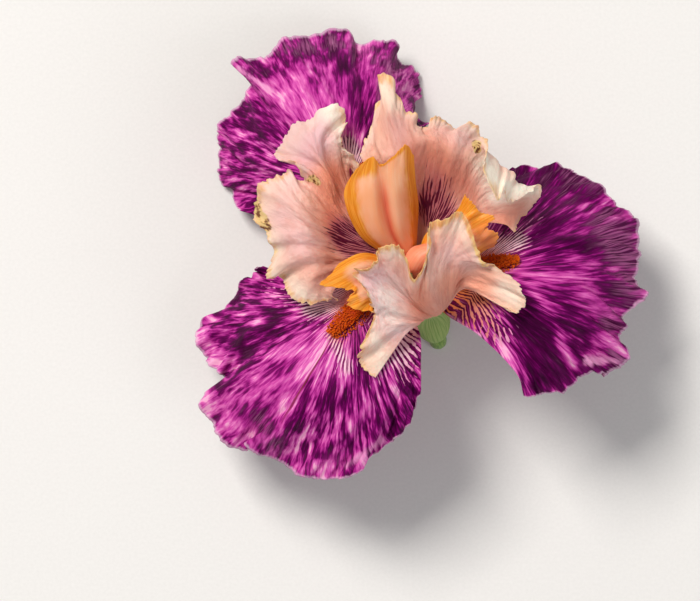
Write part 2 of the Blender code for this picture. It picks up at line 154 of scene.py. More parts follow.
def rise(value, low, high, most=1.0):
    """0 below low, most above high, and a soft step between them."""
    span = {"Value": value, "From Min": low, "From Max": high, "To Max": most}
    return step("MapRange", span, interpolation_type="SMOOTHSTEP").outputs[0]


def mix(share, first, second):
    """Two colours mixed, each a socket or as the screen shows it: share 0 is the first and 1 the second."""
    first, second = (screen(*colour) if isinstance(colour, tuple) else colour for colour in (first, second))
    return step("Mix", {0: share, 6: first, 7: second}, data_type="RGBA").outputs[2]


def ramp(value, *stops):
    """A colour for each value: each stop is a place from 0 to 1 and a colour as the screen shows it."""
    made = step("ValToRGB", {0: value})
    band = made.color_ramp
    for place, *_ in stops[1:-1]:
        band.elements.new(place)
    for element, (place, *colour) in zip(band.elements, stops):
        element.position = place
        element.color = screen(*colour)
    return made.outputs[0]


print("one node each: mask, calc, rise, mix, ramp")

# %% [markdown]
# Real skins aren't even, so each finish starts from cloudy noise. On petals the noise is laid on lines that
# the mesh carries, as the veins run, and elsewhere on the piece's own place. An even colour would look like
# plastic.


# %% Noise and finishes
def grain(across, along, detail=2.0, turn=0.0, rough=0.5, lines="grain", shift=None):
    """Cloudy noise on the petal's own lines: so many cells across and along.

    A shift bends the lines sideways, and each turn is another slice of the same noise.
    """
    places = step("Attribute", {}, attribute_name=lines).outputs["Vector"]
    if shift is not None:
        aside = step("CombineXYZ", {"X": shift}).outputs[0]
        places = step("VectorMath", {0: places, 1: aside}, operation="ADD").outputs[0]
    laid = step("Mapping", {"Vector": places, "Location": (0, 0, turn), "Scale": (across, along, 1)})
    cloud = {"Vector": laid.outputs[0], "Scale": 1.0, "Detail": detail, "Roughness": rough}
    return step("TexNoise", cloud).outputs[0]


def dusting(cells, detail=2.0):
    """Cloudy noise on the piece's own place, with so many cells to a metre."""
    places = step("TexCoord", {}).outputs["Object"]
    return step("TexNoise", {"Vector": places, "Scale": cells, "Detail": detail}).outputs[0]


def run_of(which, lines="grain"):
    """One number of the lines that a piece carries: X across the petal, or Y from its foot to its hem."""
    carried = step("Attribute", {}, attribute_name=lines).outputs["Vector"]
    return step("SeparateXYZ", {0: carried}).outputs[which]


def finish(name, roughness, through=0.0, gloss=0.3, flesh=0.0008):
    """A fresh material, whose net goes on the bench: so much light enters the flesh, so far in metres."""
    made = bpy.data.materials.new(name)
    made.use_nodes = True
    BENCH["net"] = made.node_tree
    shader = made.node_tree.nodes["Principled BSDF"]
    constants = {
        "Roughness": roughness, "Specular IOR Level": gloss, "Subsurface Weight": through,
        "Subsurface Radius": (1.0, 0.45, 0.5), "Subsurface Scale": flesh,
    }
    for socket, value in constants.items():
        shader.inputs[socket].default_value = value
    return made


def dress(colour, height=None, depth=0.0):
    """The colour, and fine relief that only bends the light: a height of 0 to 1 times a depth in metres."""
    net = BENCH["net"]
    shader = net.nodes["Principled BSDF"]
    net.links.new(colour, shader.inputs["Base Color"])
    if height is not None:
        bump = step("Bump", {"Height": height, "Distance": depth, "Strength": 1.0})
        net.links.new(bump.outputs[0], shader.inputs["Normal"])


print("a finish is its constants, a colour and a relief")

# %% [markdown]
# The table is one large pale sheet under the bloom. A big soft box at the upper left gives the petals their
# rounding, a weaker one opposite keeps the folds open, and a pale sky fills the rest. Small hard lamps
# would draw sharp shadows that a studio flower doesn't have.

# %% Table and light
TABLE_HALF = 3.0
table_skin = bpy.data.meshes.new("table")
table_corners = [(x * TABLE_HALF, y * TABLE_HALF, 0) for x, y in ((-1, -1), (1, -1), (1, 1), (-1, 1))]
table_skin.from_pydata(table_corners, [], [(0, 1, 2, 3)])
table = bpy.data.objects.new("table", table_skin)
bpy.context.scene.collection.objects.link(table)
paper = finish("pale_paper", 0.9)
dress(mix(dusting(900.0, 3.0), (226, 224, 221), (236, 234, 231)))
table_skin.materials.append(paper)


def soft_box(name, place, size, watts, tint):
    """A square lamp that faces the bloom, at a place in metres from it."""
    lamp = bpy.data.lights.new(name, "AREA")
    lamp.size = size
    lamp.energy = watts
    lamp.color = tint
    holder = bpy.data.objects.new(name, lamp)
    holder.location = place
    away = holder.location.normalized()
    holder.rotation_euler = away.to_track_quat("Z", "Y").to_euler()
    bpy.context.scene.collection.objects.link(holder)


soft_box("key", (-1.1, 1.3, 2.1), 1.0, 72.0, (1.0, 0.97, 0.93))
soft_box("fill", (1.8, -1.5, 1.7), 1.8, 26.0, (0.95, 0.97, 1.0))
sky = bpy.data.worlds.new("sky")
sky.use_nodes = True
sky.node_tree.nodes["Background"].inputs["Color"].default_value = screen(238, 238, 240)
sky.node_tree.nodes["Background"].inputs["Strength"].default_value = 0.32
bpy.context.scene.world = sky
bpy.context.scene.view_settings.view_transform = "Standard"
print("lamps:", [lamp.name for lamp in bpy.data.lights])

# %% [markdown]
# ## A petal is a sheet drawn through a few lines
#
# Each petal is drawn as a sail maker would: a few curved lines cross it from its foot to its hem, and a
# smooth sheet runs through them. A subdivided box would need hundreds of hand-moved points for the same
# folds. Here the sheet is a function of two numbers, how far across the petal and how far from foot to hem.


# %% Curves and lofts
def even(count):
    """So many shares from 0 to 1, evenly spaced."""
    return np.linspace(0.0, 1.0, count)


def unit(vectors):
    """Vectors brought to the length of one."""
    return vectors / np.maximum(np.linalg.norm(vectors, axis=-1, keepdims=True), 1e-9)


def curve_through(points, stations, wanted):
    """Points at the wanted stations of a smooth curve through the given points.

    Each span is a cubic: (1 + 2t)(1 - t)^2 of its start, t^2(3 - 2t) of its end, and its two end slopes. The
    slopes are finite differences, shortened to 1.5 times the slower of the two spans that meet there.
    """
    points = np.asarray(points, float)
    slopes = np.gradient(points, stations, axis=0)
    steps = np.diff(stations).reshape((-1,) + (1,) * (points.ndim - 1))
    speed = np.linalg.norm(np.diff(points, axis=0) / steps, axis=-1, keepdims=True)
    slowest = np.minimum(np.concatenate([speed[:1], speed]), np.concatenate([speed, speed[-1:]]))
    fastest = np.maximum(np.linalg.norm(slopes, axis=-1, keepdims=True), 1e-9)
    slopes = slopes * np.minimum(1, 1.5 * slowest / fastest)
    span = np.clip(np.searchsorted(stations, wanted, side="right") - 1, 0, len(stations) - 2)
    width = (stations[span + 1] - stations[span]).reshape((-1,) + (1,) * (points.ndim - 1))
    t = ((wanted - stations[span]) / (stations[span + 1] - stations[span])).reshape(width.shape)
    start = (1 + 2 * t) * (1 - t) ** 2 * points[span] + t * (1 - t) ** 2 * width * slopes[span]
    end = t**2 * (3 - 2 * t) * points[span + 1] + t**2 * (t - 1) * width * slopes[span + 1]
    return start + end


def radial(heading, radius, height):
    """Points round the bloom's axis, at headings in degrees counted the way they look from above."""
    angle = np.radians(np.asarray(heading, float))
    flat = np.stack([np.cos(angle), np.sin(angle), np.zeros_like(angle)], axis=-1)
    out = unit(flat - (flat @ AXIS)[..., None] * AXIS)
    return out * np.asarray(radius)[..., None] + np.asarray(height)[..., None] * AXIS


def lines_of(shape, foot):
    """The foot, an arc clockwise as seen from above, and then every line of the shape up to its hem.

    A foot is its half angle in degrees, its radius and its height on the axis.
    """
    spread, radius, height = foot
    arc = radial(shape["heading"] + np.linspace(spread, -spread, 7), radius, height)
    return [arc] + [line for key, line in shape.items() if key not in ("heading", "turn")]


def loft(lines, across, along):
    """A sheet through the lines, at these shares across and along.

    Each line is followed first. Then smooth curves run from line to line, spaced by their mean distance.
    """
    combed = np.array([curve_through(line, even(len(line)), across) for line in lines])
    steps = np.linalg.norm(np.diff(combed, axis=0), axis=2).mean(axis=1)
    stations = np.concatenate([[0.0], np.cumsum(steps)])
    return curve_through(combed, stations / stations[-1], along)


trial = loft([[(0, 0, 0), (10, 0, 0)], [(0, 10, 0), (10, 10, 4)]], even(3), even(3))
print("a small loft runs through", trial[1, 1].round(2), "at its middle")

# %% [markdown]
# ## Painting with soft strokes
#
# Where a petal is dark, pale or striped is laid in like washes in a watercolour. Each stroke is a
# line seen from above, in millimetres from the throat, with a soft width and a strength. The fine marks
# themselves come from the finish, which is one recipe for all petals of a kind, so a few strokes make each
# petal differ.


# %% Strokes
def strokes(points, marks):
    """A soft mask: each mark (x, y, x2, y2, width, strength) adds strength exp(-(distance / width)^2)."""
    at = points[..., :2]
    total = np.zeros(at.shape[:-1])
    for x, y, x2, y2, width, strength in marks:
        start, run = np.array([x, y], float), np.array([x2 - x, y2 - y], float)
        share = np.clip((at - start) @ run / max(run @ run, 1e-9), 0, 1)
        away = np.linalg.norm(at - start - share[..., None] * run, axis=-1)
        total += strength * np.exp(-((away / width) ** 2))
    return total


def washed(points, wash, *names):
    """A mask from 0 to 1 for each name: its strokes in the wash, or 0 everywhere where the wash has none."""
    return {name: np.clip(strokes(points, wash.get(name, ())), 0, 1) for name in names}


print("a stroke at its own middle gives", strokes(np.zeros((1, 3)), [(0, 0, 4, 0, 2, 0.8)])[0])

# %% [markdown]
# ## Ruffles, folds and a toothed hem
#
# A petal grows faster at its hem than at its foot, so the spare width folds into waves. The large waves are
# the same as the solid's, and where a hem lies smooth, the strokes named still hold them back. Finer folds
# and a crimped, toothed hem are added on top, in the mesh itself, because a hem that is only shaded would
# still have a smooth outline against the table.


# %% Waves and normals
def eased(grid, rounds):
    """Each point moved half-way to the mean of its neighbours, along rows and columns, so many times."""
    for _ in range(rounds):
        for axis in (0, 1):
            before = np.concatenate([np.take(grid, [0], axis), np.delete(grid, -1, axis)], axis)
            after = np.concatenate([np.delete(grid, 0, axis), np.take(grid, [-1], axis)], axis)
            grid = 0.5 * grid + 0.25 * (before + after)
    return grid


def normals_of(sheet, rounds=2):
    """Normals of a sheet, eased so that the two faces of a blade don't cross in a tight crease."""
    normals = unit(np.cross(np.gradient(sheet, axis=1), np.gradient(sheet, axis=0)))
    return unit(eased(normals, rounds))


def wave(along, waves, turn):
    """Two wave trains across the petal: 0.7 sin(waves) + 0.3 sin(0.57 waves)."""
    place = 2 * math.pi * waves * along
    return 0.7 * np.sin(place + turn) + 0.3 * np.sin(0.57 * place + 2.3 * turn)


def resample(grid, across, along):
    """A coarse grid of vectors read at finer shares across and along."""
    rows = np.array([curve_through(row, even(grid.shape[1]), across) for row in grid])
    return curve_through(rows, even(grid.shape[0]), along)


def ruffled(shape, kind, across, along, still=()):
    """The solid's own sheet at finer shares: the loft plus depth times wave times share^3, along its normals.

    A kind holds the foot, the solid's grid, and how many waves and how deep. The strokes named still hold the
    waves back.
    """
    lines = lines_of(shape, kind["foot"])
    columns, rows = kind["grid"]
    normals = unit(resample(normals_of(loft(lines, even(columns + 1), even(rows + 1))), across, along))
    plain = loft(lines, across, along)
    free = 1 - np.clip(strokes(plain, still), 0, 1)
    push = kind["depth"] * wave(across[None, :], kind["waves"], shape["turn"]) * along[:, None] ** 3 * free
    return plain + push[..., None] * normals


def ramp_up(value, low, high):
    """0 below low, 1 above high, and t^2(3 - 2t) between."""
    t = np.clip((value - low) / (high - low), 0, 1)
    return t * t * (3 - 2 * t)


print("a wave starts at", round(float(wave(0.0, 10, 0.4)), 3))


# %% Folds, crimps and teeth
SINES = 8


def tremble(across, along, waves, seed, drift=2.0):
    """An uneven wave from -1 to 1: the sum of sin(2 pi (count across + slant along) + turn), all drawn."""
    draw = np.random.default_rng(seed)
    counts = waves * draw.uniform(0.55, 1.5, SINES)
    turns = draw.uniform(0, 2 * math.pi, SINES)
    slants = draw.uniform(-drift, drift, SINES)
    total = 0.0
    for count, turn, slant in zip(counts, turns, slants):
        total = total + np.sin(2 * math.pi * (count * across + slant * along) + turn)
    return np.clip(total / (0.4 * SINES), -1, 1)


def crimped(sheet, across, along, seed, folds, fold_depth, ruffle_depth, tooth, still=()):
    """Soft folds that deepen with share^2, crinkles that run every way, hem ruffles and uneven teeth.

    Depths and teeth are in mm, and the strokes named still hold the folds back.
    """
    a, s = across[None, :], along[:, None]
    out = unit(np.gradient(sheet, axis=0))
    lift = fold_depth * tremble(a, s, folds, seed) * s**2
    lift += 0.35 * fold_depth * tremble(a, s, 2.6 * folds, seed + 4, 8.0) * s
    lift += ruffle_depth * tremble(a, s, 2.2 * folds, seed + 5, 0.8) * ramp_up(s, 0.7, 1.0)
    lift += 0.4 * ruffle_depth * tremble(a, s, 5.0 * folds, seed + 1, 1.5) * ramp_up(s, 0.86, 1.0)
    lift *= 1 - 0.85 * np.clip(strokes(sheet, still), 0, 1)
    teeth = 0.6 * tremble(a, 0 * s, 5.0 * folds, seed + 2) + 0.4 * tremble(a, 0 * s, 12.0 * folds, seed + 3)
    uneven = 0.65 + 0.5 * tremble(a, 0 * s, 1.7 * folds, seed + 6)
    reach = tooth * teeth * uneven * ramp_up(s, 0.94, 1.0)
    return sheet + lift[..., None] * normals_of(sheet, 8) + reach[..., None] * out


def shares(columns, rows, hem_rows):
    """Even columns, and rows that lie closer in the last tenth, where the hem is crimped."""
    inner = np.linspace(0, 0.9, rows - hem_rows)
    return even(columns), np.concatenate([inner, np.linspace(0.9, 1, hem_rows + 1)[1:]])


def thinning(along, foot, hem):
    """Half the thickness, which goes evenly from foot to hem: (foot - (foot - hem) along) / 2."""
    return 0.5 * (foot - (foot - hem) * along)


wide, deep = shares(410, 72, 14)
print("rows near the hem are", round(deep[-1] - deep[-2], 4), "apart, inner rows", round(deep[1], 4))

# %% [markdown]
# ## From a sheet to a blade
#
# A petal is flesh with two skins: about 0.6 mm thick at its foot and thin as paper at its hem. Solidify
# would give it one thickness everywhere, so both faces are laid out here and joined round the rim. Each
# point also carries its grain, its share across and along, which the paint follows as the veins do. The map
# named OFBake lays the two faces side by side, for anyone who wants to bake the finish into a picture.

# %% Slab faces
MAP_EDGE = 0.01
TABLE_GAP = 0.05
CORNERS = [
    (slice(0, -1), slice(0, -1)), (slice(0, -1), slice(1, None)),
    (slice(1, None), slice(1, None)), (slice(1, None), slice(0, -1)),
]


def slab_faces(rows, columns):
    """The faces of a lower grid, turned over, of an upper grid of further points, and of a wall round."""
    count = rows * columns
    index = np.arange(count).reshape(rows, columns)
    a, b, c, d = (index[r, k].ravel() for r, k in CORNERS)
    rim = np.concatenate([index[0, :], index[1:, -1], index[-1, -2::-1], index[-2:0:-1, 0]])
    after = np.roll(rim, -1)
    wall = np.stack([rim, after, after + count, rim + count], 1)
    return np.stack([a, d, c, b], 1), np.stack([a, b, c, d], 1) + count, wall


print("a slab of 2 by 2 points has", sum(len(part) for part in slab_faces(2, 2)), "faces")


# %% Blade mesh
def finer_piece(name, points, faces, skin, node):
    """A smooth mesh in metres with its place in its points, riding on the flower in the solid's stead."""
    mesh = bpy.data.meshes.new(name)
    mesh.from_pydata(((points + THROAT) * MM).tolist(), [], faces)
    mesh.materials.append(skin)
    mesh.shade_smooth()
    made = bpy.data.objects.new(name, mesh)
    bpy.context.scene.collection.objects.link(made)
    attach(made, "root")
    if node:
        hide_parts(node)
    print(name, "has", len(mesh.vertices), "points")
    return made


def carry(made, **values):
    """Stores values at the points: a number each as a soft mask, or a vector each as the grain."""
    for key, value in values.items():
        kind, field = ("FLOAT_VECTOR", "vector") if value.ndim == 2 else ("FLOAT", "value")
        stored = made.data.attributes.new(key, kind, "POINT")
        stored.data.foreach_set(field, value.astype(np.float32).ravel())


def edge_sign(count):
    """-1 for the first, 1 for the last and 0 between."""
    sign = np.zeros(count)
    sign[0], sign[-1] = -1, 1
    return sign


def bake_map(made, flat, grid, faces):
    """A flat map: the upper face on the left half, the lower on the right, and the wall in a thin frame."""
    under, over, wall = faces
    rows, columns = grid
    rim, after = wall[:, 0], wall[:, 1]
    over_map = MAP_EDGE + flat * (0.5 - 2 * MAP_EDGE, 1 - 2 * MAP_EDGE)
    outward = np.stack(np.meshgrid(edge_sign(columns), edge_sign(rows)), -1).reshape(-1, 2)
    rim_map = over_map + 0.5 * MAP_EDGE * outward
    corners = [over_map[under] + (0.5, 0.0), over_map[over - rows * columns]]
    corners.append(np.stack([rim_map[rim], rim_map[after], over_map[after], over_map[rim]], 1))
    layer = made.data.uv_layers.new(name="OFBake")
    layer.uv.foreach_set("vector", np.concatenate(corners).astype(np.float32).ravel())


def blade(name, sheet, half, across, along, skin, node, seed, masks):
    """A closed petal: the sheet moved half its thickness each way along its normals, and a wall round it."""
    grid = sheet.shape[:2]
    push = half[:, None, None] * normals_of(sheet, 3)
    points = np.concatenate([(sheet - push).reshape(-1, 3), (sheet + push).reshape(-1, 3)])
    points[:, 2] = np.maximum(points[:, 2], TABLE_GAP - THROAT[2])
    faces = slab_faces(*grid)
    made = finer_piece(name, points, np.concatenate(faces).tolist(), skin, node)
    flat = np.stack(np.meshgrid(across, along), -1).reshape(-1, 2)
    count = len(flat)
    seeded = np.concatenate([flat, np.full((count, 1), float(seed))], 1)
    carry(made, grain=np.tile(seeded, (2, 1)), upper=np.repeat([0.0, 1.0], count))
    for key, value in masks.items():
        carry(made, **{key: np.concatenate([value.reshape(count, -1).squeeze()] * 2)})
    bake_map(made, flat, grid, faces)


print("each blade is closed: two faces and a wall round the rim")

# %% [markdown]
# ## The falls' finish: violet splashes on orchid pink
#
# This kind of iris is broken-coloured: its violet lies in feathered splashes along the veins, over orchid
# pink. Round the beard the ground turns white and the violet draws thin zebra lines, and at the foot it
# turns rusty. An image would blur when seen close, so all of it is noise. The noise is stretched along the
# veins, which fan out from the beard, so each point of a fall carries its angle round the beard and its
# distance from the foot.

# %% Fall splashes
fall_finish = finish("orchid_with_violet_splashes", 0.5, through=0.1, gloss=0.05, flesh=0.0004)
vein_noise = functools.partial(grain, lines="veins")
bend = swing(vein_noise(6, 0.8, turn=3.0), 0.06)
cloud = vein_noise(9, 0.9, shift=bend)
blotch = vein_noise(26, 1.5, turn=6.0, detail=3.0, shift=bend)
feather = vein_noise(70, 2.2, turn=4.0, shift=bend)
brush = calc("MULTIPLY_ADD", feather, 0.2, calc("MULTIPLY_ADD", blotch, 0.46, times(cloud, 0.34)))
contrast = calc("MULTIPLY_ADD", mask("calm"), -0.6, 1.0)
depth = calc("MULTIPLY_ADD", swing(brush, 4.6), contrast, mask("dark"))
splashed = ramp(
    plus(depth, 0.5),
    (0.0, 240, 168, 204), (0.14, 222, 112, 184), (0.3, 202, 76, 162), (0.42, 178, 50, 142),
    (0.51, 152, 26, 120), (0.6, 112, 6, 90), (0.76, 82, 0, 66), (1.0, 56, 0, 44),
)
print("the splashes take", len(BENCH["net"].nodes), "nodes")

# %% [markdown]
# The zebra lines are a sine of the angle round the beard, bent by noise. On a flank, the side of a fall
# that turns up, the noise tangles them into a maze, and the pale ground between them is darkened as
# painted shade. Where a fall is marked fork, a second, finer sine splits each line in two.

# %% Fall lines
orange = mask("orange")
flank = mask("flank")
rust = mask("rust")
near_beard = mask("lines")
wander = swing(vein_noise(5, 1.1, turn=7.0), 9.0)
maze = times(swing(vein_noise(9, 4.5, turn=12.0), 9.0), flank)
wave_place = plus(mask("phase"), plus(wander, maze))
breaks = swing(vein_noise(30, 5, turn=2.0), 3.2)
single = calc("SINE", wave_place)
forked = calc("SUBTRACT", calc("SINE", times(wave_place, 2.0)), single)
pale_share = plus(calc("MULTIPLY_ADD", mask("fork"), forked, single), breaks)
pale_share = rise(calc("MULTIPLY_ADD", near_beard, 2.3, pale_share), 1.45, 1.85)
pale_share = times(pale_share, rise(near_beard, 0.04, 0.25))
pale_ground = mix(rise(near_beard, 0.3, 0.8), (232, 138, 192), (246, 204, 218))
# Painted shade: the pale ground is darker on a flank, which lies in shade.
pale_ground = mix(times(flank, 0.6), pale_ground, (190, 112, 128))
pale_ground = mix(rust, pale_ground, (210, 116, 72))
dark_line = mix(rust, (96, 4, 68), (78, 8, 22))
dark_line = mix(rise(near_beard, 0.35, 0.8), splashed, dark_line)
painted = mix(pale_share, dark_line, pale_ground)
painted = mix(times(orange, pale_share), painted, (222, 92, 18))
dots = rise(vein_noise(70, 12, turn=3.0), 0.54, 0.6)
painted = mix(times(orange, dots), painted, (196, 66, 10))

# %% Fall margins, midrib and underside
streak = vein_noise(90, 1.2, turn=9.0)
patches = swing(brush, 2.4)
# Darker, greyer margins: partly the petal's own greying, partly painted shade where the light falls off
# towards the edges.
shaded_margin = mix(rise(streak, 0.4, 0.6), (76, 20, 60), (164, 88, 136))
shaded_margin_share = rise(plus(mask("shaded_margin"), patches), 0.15, 0.75, most=0.8)
painted = mix(shaded_margin_share, painted, shaded_margin)
pale_tone = mix(streak, (214, 120, 180), (236, 170, 206))
pale_place = calc("SUBTRACT", mask("pale"), patches)
painted = mix(rise(pale_place, 0.25, 0.75), painted, pale_tone)
rim = rise(calc("MULTIPLY_ADD", streak, 0.016, run_of("Y")), 0.992, 1.006, most=0.7)
painted = mix(rim, painted, (222, 178, 206))
from_midrib = calc("ABSOLUTE", run_of("X", "veins"))
midrib = calc("SUBTRACT", 1.0, rise(from_midrib, 0.004, 0.014))
painted = mix(times(midrib, mask("midrib")), painted, (126, 44, 62))
dull = mix(rise(brush, 0.45, 0.6), (176, 96, 138), (120, 30, 92))
underside = times(calc("SUBTRACT", 1.0, mask("upper")), 0.7)
painted = mix(underside, painted, dull)
blister = grain(60, 26, detail=3.0, turn=5.0)
dress(painted, calc("MULTIPLY_ADD", feather, 0.4, blister), 0.00022)
print("the falls' finish has", len(BENCH["net"].nodes), "nodes")

# %% [markdown]
# ## The three falls
#
# A fall runs level from the throat as a narrow haft, then widens and drops to the table. The lines below
# cross each fall from its haft to its hem, as seen in the photograph and from such a flower's usual arch.
# The back fall hangs away from us, the right one turns its flank up, and the left one lies open. A turn is
# where its waves start.

# %% Outlines of the falls
FALL_BACK = {
    "heading": 118,
    "turn": 0.4,
    "haft": ((-18, 12, -3), (-14, 14.5, 0), (-9, 17, 1.5), (-4, 19.5, -1), (0, 21.5, -5)),
    "shoulder": ((-37, 24, -6), (-28, 29.5, 3), (-18, 35, 7.5), (-9, 40, 2), (-1, 44, -8)),
    "belly": (
        (-48, 21, -22), (-55, 36, -22), (-48, 49, -11), (-32, 58, -1), (-18, 63, -4), (-8, 62, -14),
        (2, 51, -25),
    ),
    "hem": (
        (-58, 22.5, -31), (-65.5, 29.5, -36), (-69, 39.5, -39.6), (-69, 49, -38), (-65.5, 58, -32),
        (-57, 65.5, -25), (-63.5, 74, -22), (-53.5, 78, -24), (-43, 83, -27), (-29.5, 86.5, -29),
        (-18, 83.3, -26), (-8, 80, -30), (-0.5, 73.5, -37), (2.5, 68, -39.6), (-1, 62, -38), (5, 55, -34),
    ),
}
FALL_RIGHT = {
    "heading": -10,
    "turn": 1.9,
    "haft": ((11, 17, -9), (15, 11, 0), (17, 4, 7), (16, -3, 9), (13, -8.5, 8), (9, -12, 4)),
    "shoulder": (
        (22, 30, -14), (29, 21, 0), (33, 11, 11), (34, 3, 16), (31, -6, 19), (26, -15, 19), (21, -20, 15),
    ),
    "belly": (
        (28, 34, -19), (43, 31, -10), (53, 18, 3), (55, 3, 12), (52, -10, 17), (44, -22, 20), (33, -32, 19),
    ),
    "hem": (
        (34, 37.5, -23), (45, 39, -20), (53, 37.5, -16), (63, 32, -13), (70.5, 24.5, -12), (77, 18, -12),
        (77, 8.5, -8), (76, 0, -4), (78, -7.3, -2), (71.5, -15, 3), (70, -20, 6), (72, -28, 5),
        (66, -34, 7), (59, -33, 12), (52, -38, 13), (44, -40.5, 15), (36, -40, 16),
    ),
}
FALL_LEFT = {
    "heading": -130,
    "turn": 3.1,
    "haft": ((-1, -12, 3), (-6, -12, 9), (-13.5, -7, 10), (-18, -2, 4), (-20, 4, -4)),
    "shoulder": (
        (1.2, -21, 11), (-6, -27, 17), (-16, -25, 18), (-26, -20, 17), (-33, -12, 11), (-38, -5, 1),
        (-40, 1, -9),
    ),
    "belly": (
        (1.2, -32, 16), (-8, -44, 16), (-22, -48, 15), (-43, -41, 13), (-53, -29, 5), (-57, -16, -6),
        (-54, -4, -14), (-46, 2, -15),
    ),
    "hem": (
        (1.4, -40, 15), (-3, -50.5, 13), (-10.5, -58, 11), (-20, -66, 6), (-29, -70, 3), (-39, -68.5, 0),
        (-50, -63.5, -3), (-57, -58, -1), (-61, -60.5, -6), (-68.5, -55, -11), (-73.5, -46, -17),
        (-71, -39.5, -17), (-66.5, -34, -14), (-73.5, -29, -21), (-75, -18.3, -26), (-67, -8.5, -25),
        (-56.5, -1, -21), (-56, 3, -19), (-52, 3.5, -17),
    ),
}

# %% [markdown]
# A wash holds one fall's strokes by what they lay in, and where its veins meet: the hub, the share from
# foot to hem from which they fan out, how many zebra lines there are to a radian, and how far the marks
# stretch. A flank has its own hub a little aside, and its lines lie wider apart on both sides of its own
# angle.

# %% Washes on the falls
FALL_KIND = {"foot": (46, 5.5, -0.6), "grid": (52, 10), "waves": 10, "depth": 2.6}
solid_across, solid_along = even(53), even(11)
FLANK_WIDENING = 0.42
# The margin strokes in each wash darken the outer hems: partly greying, partly painted shade.
BACK_WASH = {
    "hub": (-23, 30),
    "fan_from": 0.32,
    "lines_per_radian": 16,
    "stretch": 0.9,
    "calm": [(-38, 62, -14, 68, 20, 0.9)],
    "dark": [
        (-65, 43, -53, 46, 9, 0.02), (-62, 31, -56, 22, 8, 0.05), (-57, 58, -53, 51, 3.5, 0.3),
        (-20, 67, -19, 53, 3, 0.22), (-30, 82, -25, 72, 2.2, 0.45), (-42, 66, -34, 54, 9, -0.2),
        (-60, 71, -45, 60, 2.5, -0.2), (0, 58, 0, 52, 4, 0.3), (-11, 68, -5, 60, 5, -0.15),
        (-7, 73, -6, 71, 3, 0.2), (-4, 68, 0, 60, 5, -0.16), (-42, 78, -34, 80, 5, 0.2),
        (-14, 47, -8, 52, 5, 0.12), (-27, 48, -22, 42, 5, -0.4),
    ],
    "lines": [(-24, 45, -19, 38, 4, 1.0)],
    "rust": [(-24, 33, -20, 29, 4, 1.0)],
    "shaded_margin": [(-46, 80, -20, 81, 4, 0.45), (-16, 78, -8, 74, 5, 0.35), (-66, 30, -68, 44, 2.5, 0.4)],
    "pale": [(-61, 72, -50, 64, 1.8, 0.6), (-30, 85, -28, 80, 1.2, 0.5), (-12, 74, 0, 64, 5, 0.3)],
}
RIGHT_WASH = {
    "hub": (17, 1),
    "fan_from": 0.24,
    "lines_per_radian": 12,
    "stretch": 0.6,
    "flank": [(10, -9, 20, -14, 9, 1.0)],
    "flank_angle": -1.6,
    "flank_shift": (-1.5, -1.5),
    "fork": [(24, 11, 42, 19, 8, 1.3)],
    "still": [(36, 38, 56, 37, 9, 0.8), (58, 36, 77, 6, 10, 0.8)],
    "calm": [(44, 24, 64, 14, 16, 0.5), (42, -2, 66, -12, 12, 0.5), (44, -26, 56, -36, 9, 0.7)],
    "dark": [
        (33, 34, 54, 35, 5, 0.3), (40, 9, 62, 12, 3.5, 0.34), (37, 3, 59, -5, 5, -0.1),
        (40, -20, 43, -36, 9, 0.38), (48, -21, 53, -30, 1.8, -0.5), (59, -27, 69, -32, 3, -0.2),
        (30, -24, 33, -30, 4, -0.2), (46, 26, 64, 22, 7, 0.2), (68, 8, 72, -8, 7, 0.22),
        (35, -9, 38, -13, 5, 0.2), (52, -14, 60, -32, 6, 0.3), (42, 22, 36, 27, 5, 0.3),
        (44, -12, 60, -17, 4, -0.12),
    ],
    "lines": [
        (22, 9, 34, 11, 4.5, 0.82), (36, 14, 42, 20, 3, 0.25), (11, -8, 22, -10, 6, 0.66),
        (21, -14, 29, -21, 5, 0.55),
    ],
    "rust": [(10, -6, 24, -8, 4.5, 0.85), (12, -13, 24, -18, 5, 0.7), (18, 6, 24, 8, 3, 0.3)],
    "orange": [(21, 5, 32, 4, 3, 0.9)],
    "shaded_margin": [
        (68, 16, 75, -3, 7, 0.75), (44, 32, 68, 14, 9, 0.22), (66, -16, 68, -28, 4, 0.45),
        (52, 36, 64, 31, 3, 0.3), (60, -10, 70, -14, 4, 0.3),
    ],
    "pale": [
        (77, -9, 72, -15, 1.6, 0.9), (58, -29, 70, -29, 2.2, 0.6), (11, -13, 21, -20.5, 1.2, 0.5),
        (21, -20.5, 35, -36, 1.6, 0.35),
    ],
}
